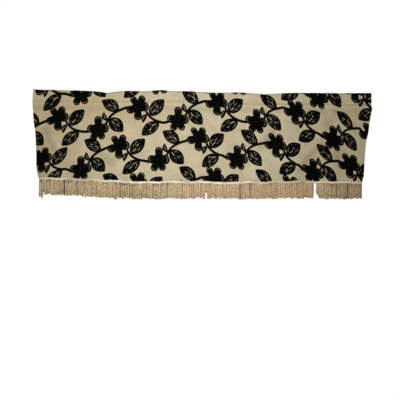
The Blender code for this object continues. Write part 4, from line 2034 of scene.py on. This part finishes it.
# ---------------------------------------------------------------- the sewing
@dataclass
class Stitching:
    """Rows of sewn stitches along the pocket, the hems and the tape."""

    hang: Hang
    fringes: Sequence[Fringe]
    pitch: float = 3.6
    length: float = 2.5
    thickness: float = 0.55
    stand: float = 0.22
    hem_inset: float = 2.5
    end_inset: float = 1.5
    back_drop: float = 1.2
    on_tape: float = 0.7
    step: float = 6.0

    def tree(self) -> bpy.types.NodeTree:
        """A tree that sets a short rounded thread at even steps along guide lines.

        Returns:
            The tree.
        """
        sizes = {"Pitch": self.pitch * MM, "Length": self.length * MM}
        net = GrowTree("stitches", {**sizes, "Thickness": self.thickness * MM})
        inputs = {"Curve": net.lines(), "Length": net.given["Pitch"]}
        places = net.add("GeometryNodeCurveToPoints", inputs, mode="LENGTH").outputs
        inputs = {"Segments": 6, "Rings": 4, "Radius": 0.5}
        thread = net.add("GeometryNodeMeshUVSphere", inputs).outputs["Mesh"]
        turned = net.add("FunctionNodeAlignRotationToVector", {"Vector": places["Tangent"]}, axis="Z")
        thick = net.given["Thickness"]
        inputs = {"X": thick, "Y": thick, "Z": net.given["Length"]}
        size = net.add("ShaderNodeCombineXYZ", inputs).outputs[0]
        inputs = {"Points": places["Points"], "Instance": thread}
        inputs.update({"Rotation": turned.outputs["Rotation"], "Scale": size})
        return net.finish(net.add("GeometryNodeInstanceOnPoints", inputs).outputs["Instances"])

    def lines(self) -> list[np.ndarray]:
        """Where the rows of stitches run.

        Returns:
            The points of each row.
        """
        hang = self.hang
        left, right = hang.sides(hang.pocket_seam)
        at = np.arange(left + self.end_inset, right - self.end_inset, self.step)
        seam = np.full_like(at, hang.pocket_seam)
        found = [hang.points(at, seam, np.full_like(at, self.stand))]
        behind = -2 * hang.ply - self.stand
        found.append(hang.points(at, seam + self.back_drop, np.full_like(at, behind)))
        foot_drop = hang.foot(at)
        inner = at[(at > hang.left_edge(foot_drop) + 3.0) & (at < hang.right_edge(foot_drop) - 3.0)]
        foot_hem = hang.foot(inner) - hang.foot_hem + self.hem_inset
        found.append(hang.points(inner, foot_hem, np.full_like(inner, behind)))
        paths = np.arange(hang.pocket_turn + 3.0, hang.side_hem_end, self.step)
        for edge, way in ((hang.left_edge(paths), 1.0), (hang.right_edge(paths), -1.0)):
            sewn = edge + way * (hang.side_hem - self.hem_inset)
            found.append(hang.points(sewn, paths, np.full_like(paths, behind)))
        for fringe in self.fringes:
            at = np.arange(fringe.tape_left + 1.0, fringe.tape_right - 1.0, self.step)
            height = hang.tape_line(at) + self.on_tape * fringe.tape_height / 2
            y = fringe.tape_back(at, height) - fringe.tape_depth - self.stand + fringe.rib_depth
            found.append(np.stack([at, y, height], axis=1))
        return found

    def build(self, finishes: Finishes) -> bpy.types.Object:
        """Sew every row.

        Args:
            finishes: The valance's finishes.

        Returns:
            The new piece.
        """
        guide = guide_lines("stitches", self.lines())
        sizes = {"Pitch": self.pitch * MM, "Length": self.length * MM}
        sizes["Thickness"] = self.thickness * MM
        return grow(guide, self.tree(), {**sizes, "Finish": finishes.thread})


# ---------------------------------------------------------------- floor, lights and camera
@dataclass
class Studio:
    """A pale floor, a white surround, soft lights and a camera straight in front."""

    distance: float = 4.0
    view_width: float = 1.5636
    view_at: float = -0.0057
    view_height: float = -0.4212
    roll: float = 0.487
    sensor_width: float = 36.0
    floor_height: float = -2.2
    floor_size: float = 10.0
    fill_strength: float = 0.35
    fill_tint: tuple[float, ...] = (1.0, 0.95, 0.80, 1.0)
    key_power: float = 5.1
    key_place: tuple[float, float, float] = (-0.13, -0.83, -0.12)
    key_size: float = 0.45
    key_tip: float = 84.0
    low_power: float = 45.0
    low_height: float = -1.1
    low_size: float = 4.0

    def floor(self) -> bpy.types.Object:
        """The pale floor far below.

        Returns:
            The floor.
        """
        half, z = self.floor_size / 2, self.floor_height
        mesh = bpy.data.meshes.new("floor")
        corners = [(-half, -half, z), (half, -half, z), (half, half, z), (-half, half, z)]
        mesh.from_pydata(corners, [], [(0, 1, 2, 3)])
        net = FinishNet("pale_floor", 0.9)
        stops = ((0.3, rgb(240, 240, 240)), (0.7, rgb(246, 246, 246)))
        net.give("Base Color", net.tone(net.noise(net.place(), 6.0), stops))
        mesh.materials.append(net.material)
        return show("floor", mesh)

    def surround(self) -> None:
        """A white surround that lights the cloth only softly and a little warm."""
        world = bpy.data.worlds.new("surround")
        world.use_nodes = True
        net = NodeNet(world.node_tree)
        seen = net.add("ShaderNodeLightPath").outputs["Is Camera Ray"]
        soft = net.tree.nodes["Background"]
        soft.inputs["Color"].default_value = self.fill_tint
        soft.inputs["Strength"].default_value = self.fill_strength
        white = net.add("ShaderNodeBackground", {"Color": (1.0, 1.0, 1.0, 1.0), "Strength": 1.0})
        inputs = {0: seen, 1: soft.outputs[0], 2: white.outputs[0]}
        shown = net.add("ShaderNodeMixShader", inputs).outputs[0]
        net.tree.links.new(shown, net.tree.nodes["World Output"].inputs["Surface"])
        bpy.context.scene.world = world

    def soft_light(self, name: str, power: float, size: float, place: Sequence[float],
                   tip: float) -> None:
        """A square soft light.

        Args:
            name: The light's name.
            power: Its power in watts.
            size: Its side in metres.
            place: Where it stands.
            tip: Degrees that it is turned up from facing straight down.
        """
        data = bpy.data.lights.new(name, "AREA")
        data.energy = power
        data.size = size
        light = show(name, data)
        light.location = place
        light.rotation_euler = Euler((math.radians(tip), 0.0, 0.0))
        light.visible_camera = False

    def camera(self) -> None:
        """A level camera, turned so that the valance hangs a trace off level."""
        data = bpy.data.cameras.new("camera")
        data.sensor_width = self.sensor_width
        data.lens = data.sensor_width * self.distance / self.view_width
        camera = show("camera", data)
        camera.location = (self.view_at, -self.distance, self.view_height)
        camera.rotation_euler = Euler((math.radians(90.0), math.radians(-self.roll), 0.0))
        bpy.context.scene.camera = camera

    def build(self) -> None:
        """Set up the floor, the lights, the camera and the plain colour view."""
        self.floor()
        self.surround()
        self.soft_light("key", self.key_power, self.key_size, self.key_place, self.key_tip)
        self.soft_light("low", self.low_power, self.low_size, (0.0, 0.0, self.low_height), 0.0)
        self.camera()
        bpy.context.scene.view_settings.view_transform = "Standard"


# ---------------------------------------------------------------- putting it together
def seat(piece: bpy.types.Object) -> None:
    """Let a piece ride on the valance's one body and log its triangle count.

    Args:
        piece: The piece.
    """
    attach(piece, BODY)
    faces = sum(len(polygon.vertices) - 2 for polygon in piece.data.polygons)
    LOG.info("%s: %d triangles", piece.name, faces)


def main() -> None:
    """Build the valance piece by piece and hide the imported parts that they replace."""
    logging.basicConfig(level=logging.INFO, format="%(name)s %(message)s")
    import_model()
    Studio().build()
    hang = Hang()
    finishes = Finishes.make()

    cloth = ClothPanel(hang)
    panel = cloth.build(finishes)
    seat(panel)
    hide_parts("panel")
    trims = Flock(hang).build(finishes)
    for piece in trims:
        seat(piece)

    left, right = hang.sides(hang.tape_drop)
    fringes = (
        Fringe(hang, "long", left + TAPE_INSET, LONG_TAPE_END, left + CORD_INSET, LONG_CORDS_END, 17),
        Fringe(hang, "short", SHORT_TAPE_START, right - TAPE_INSET, SHORT_CORDS_START,
               right - CORD_INSET, 18),
    )
    for fringe in fringes:
        for piece in (fringe.tape(finishes), *fringe.cords(finishes)):
            seat(piece)
            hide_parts(f"fringe_{fringe.name}")
            trims.append(piece)

    stitches = Stitching(hang, fringes).build(finishes)
    seat(stitches)
    trims.append(stitches)


if __name__ == "__main__":
    main()
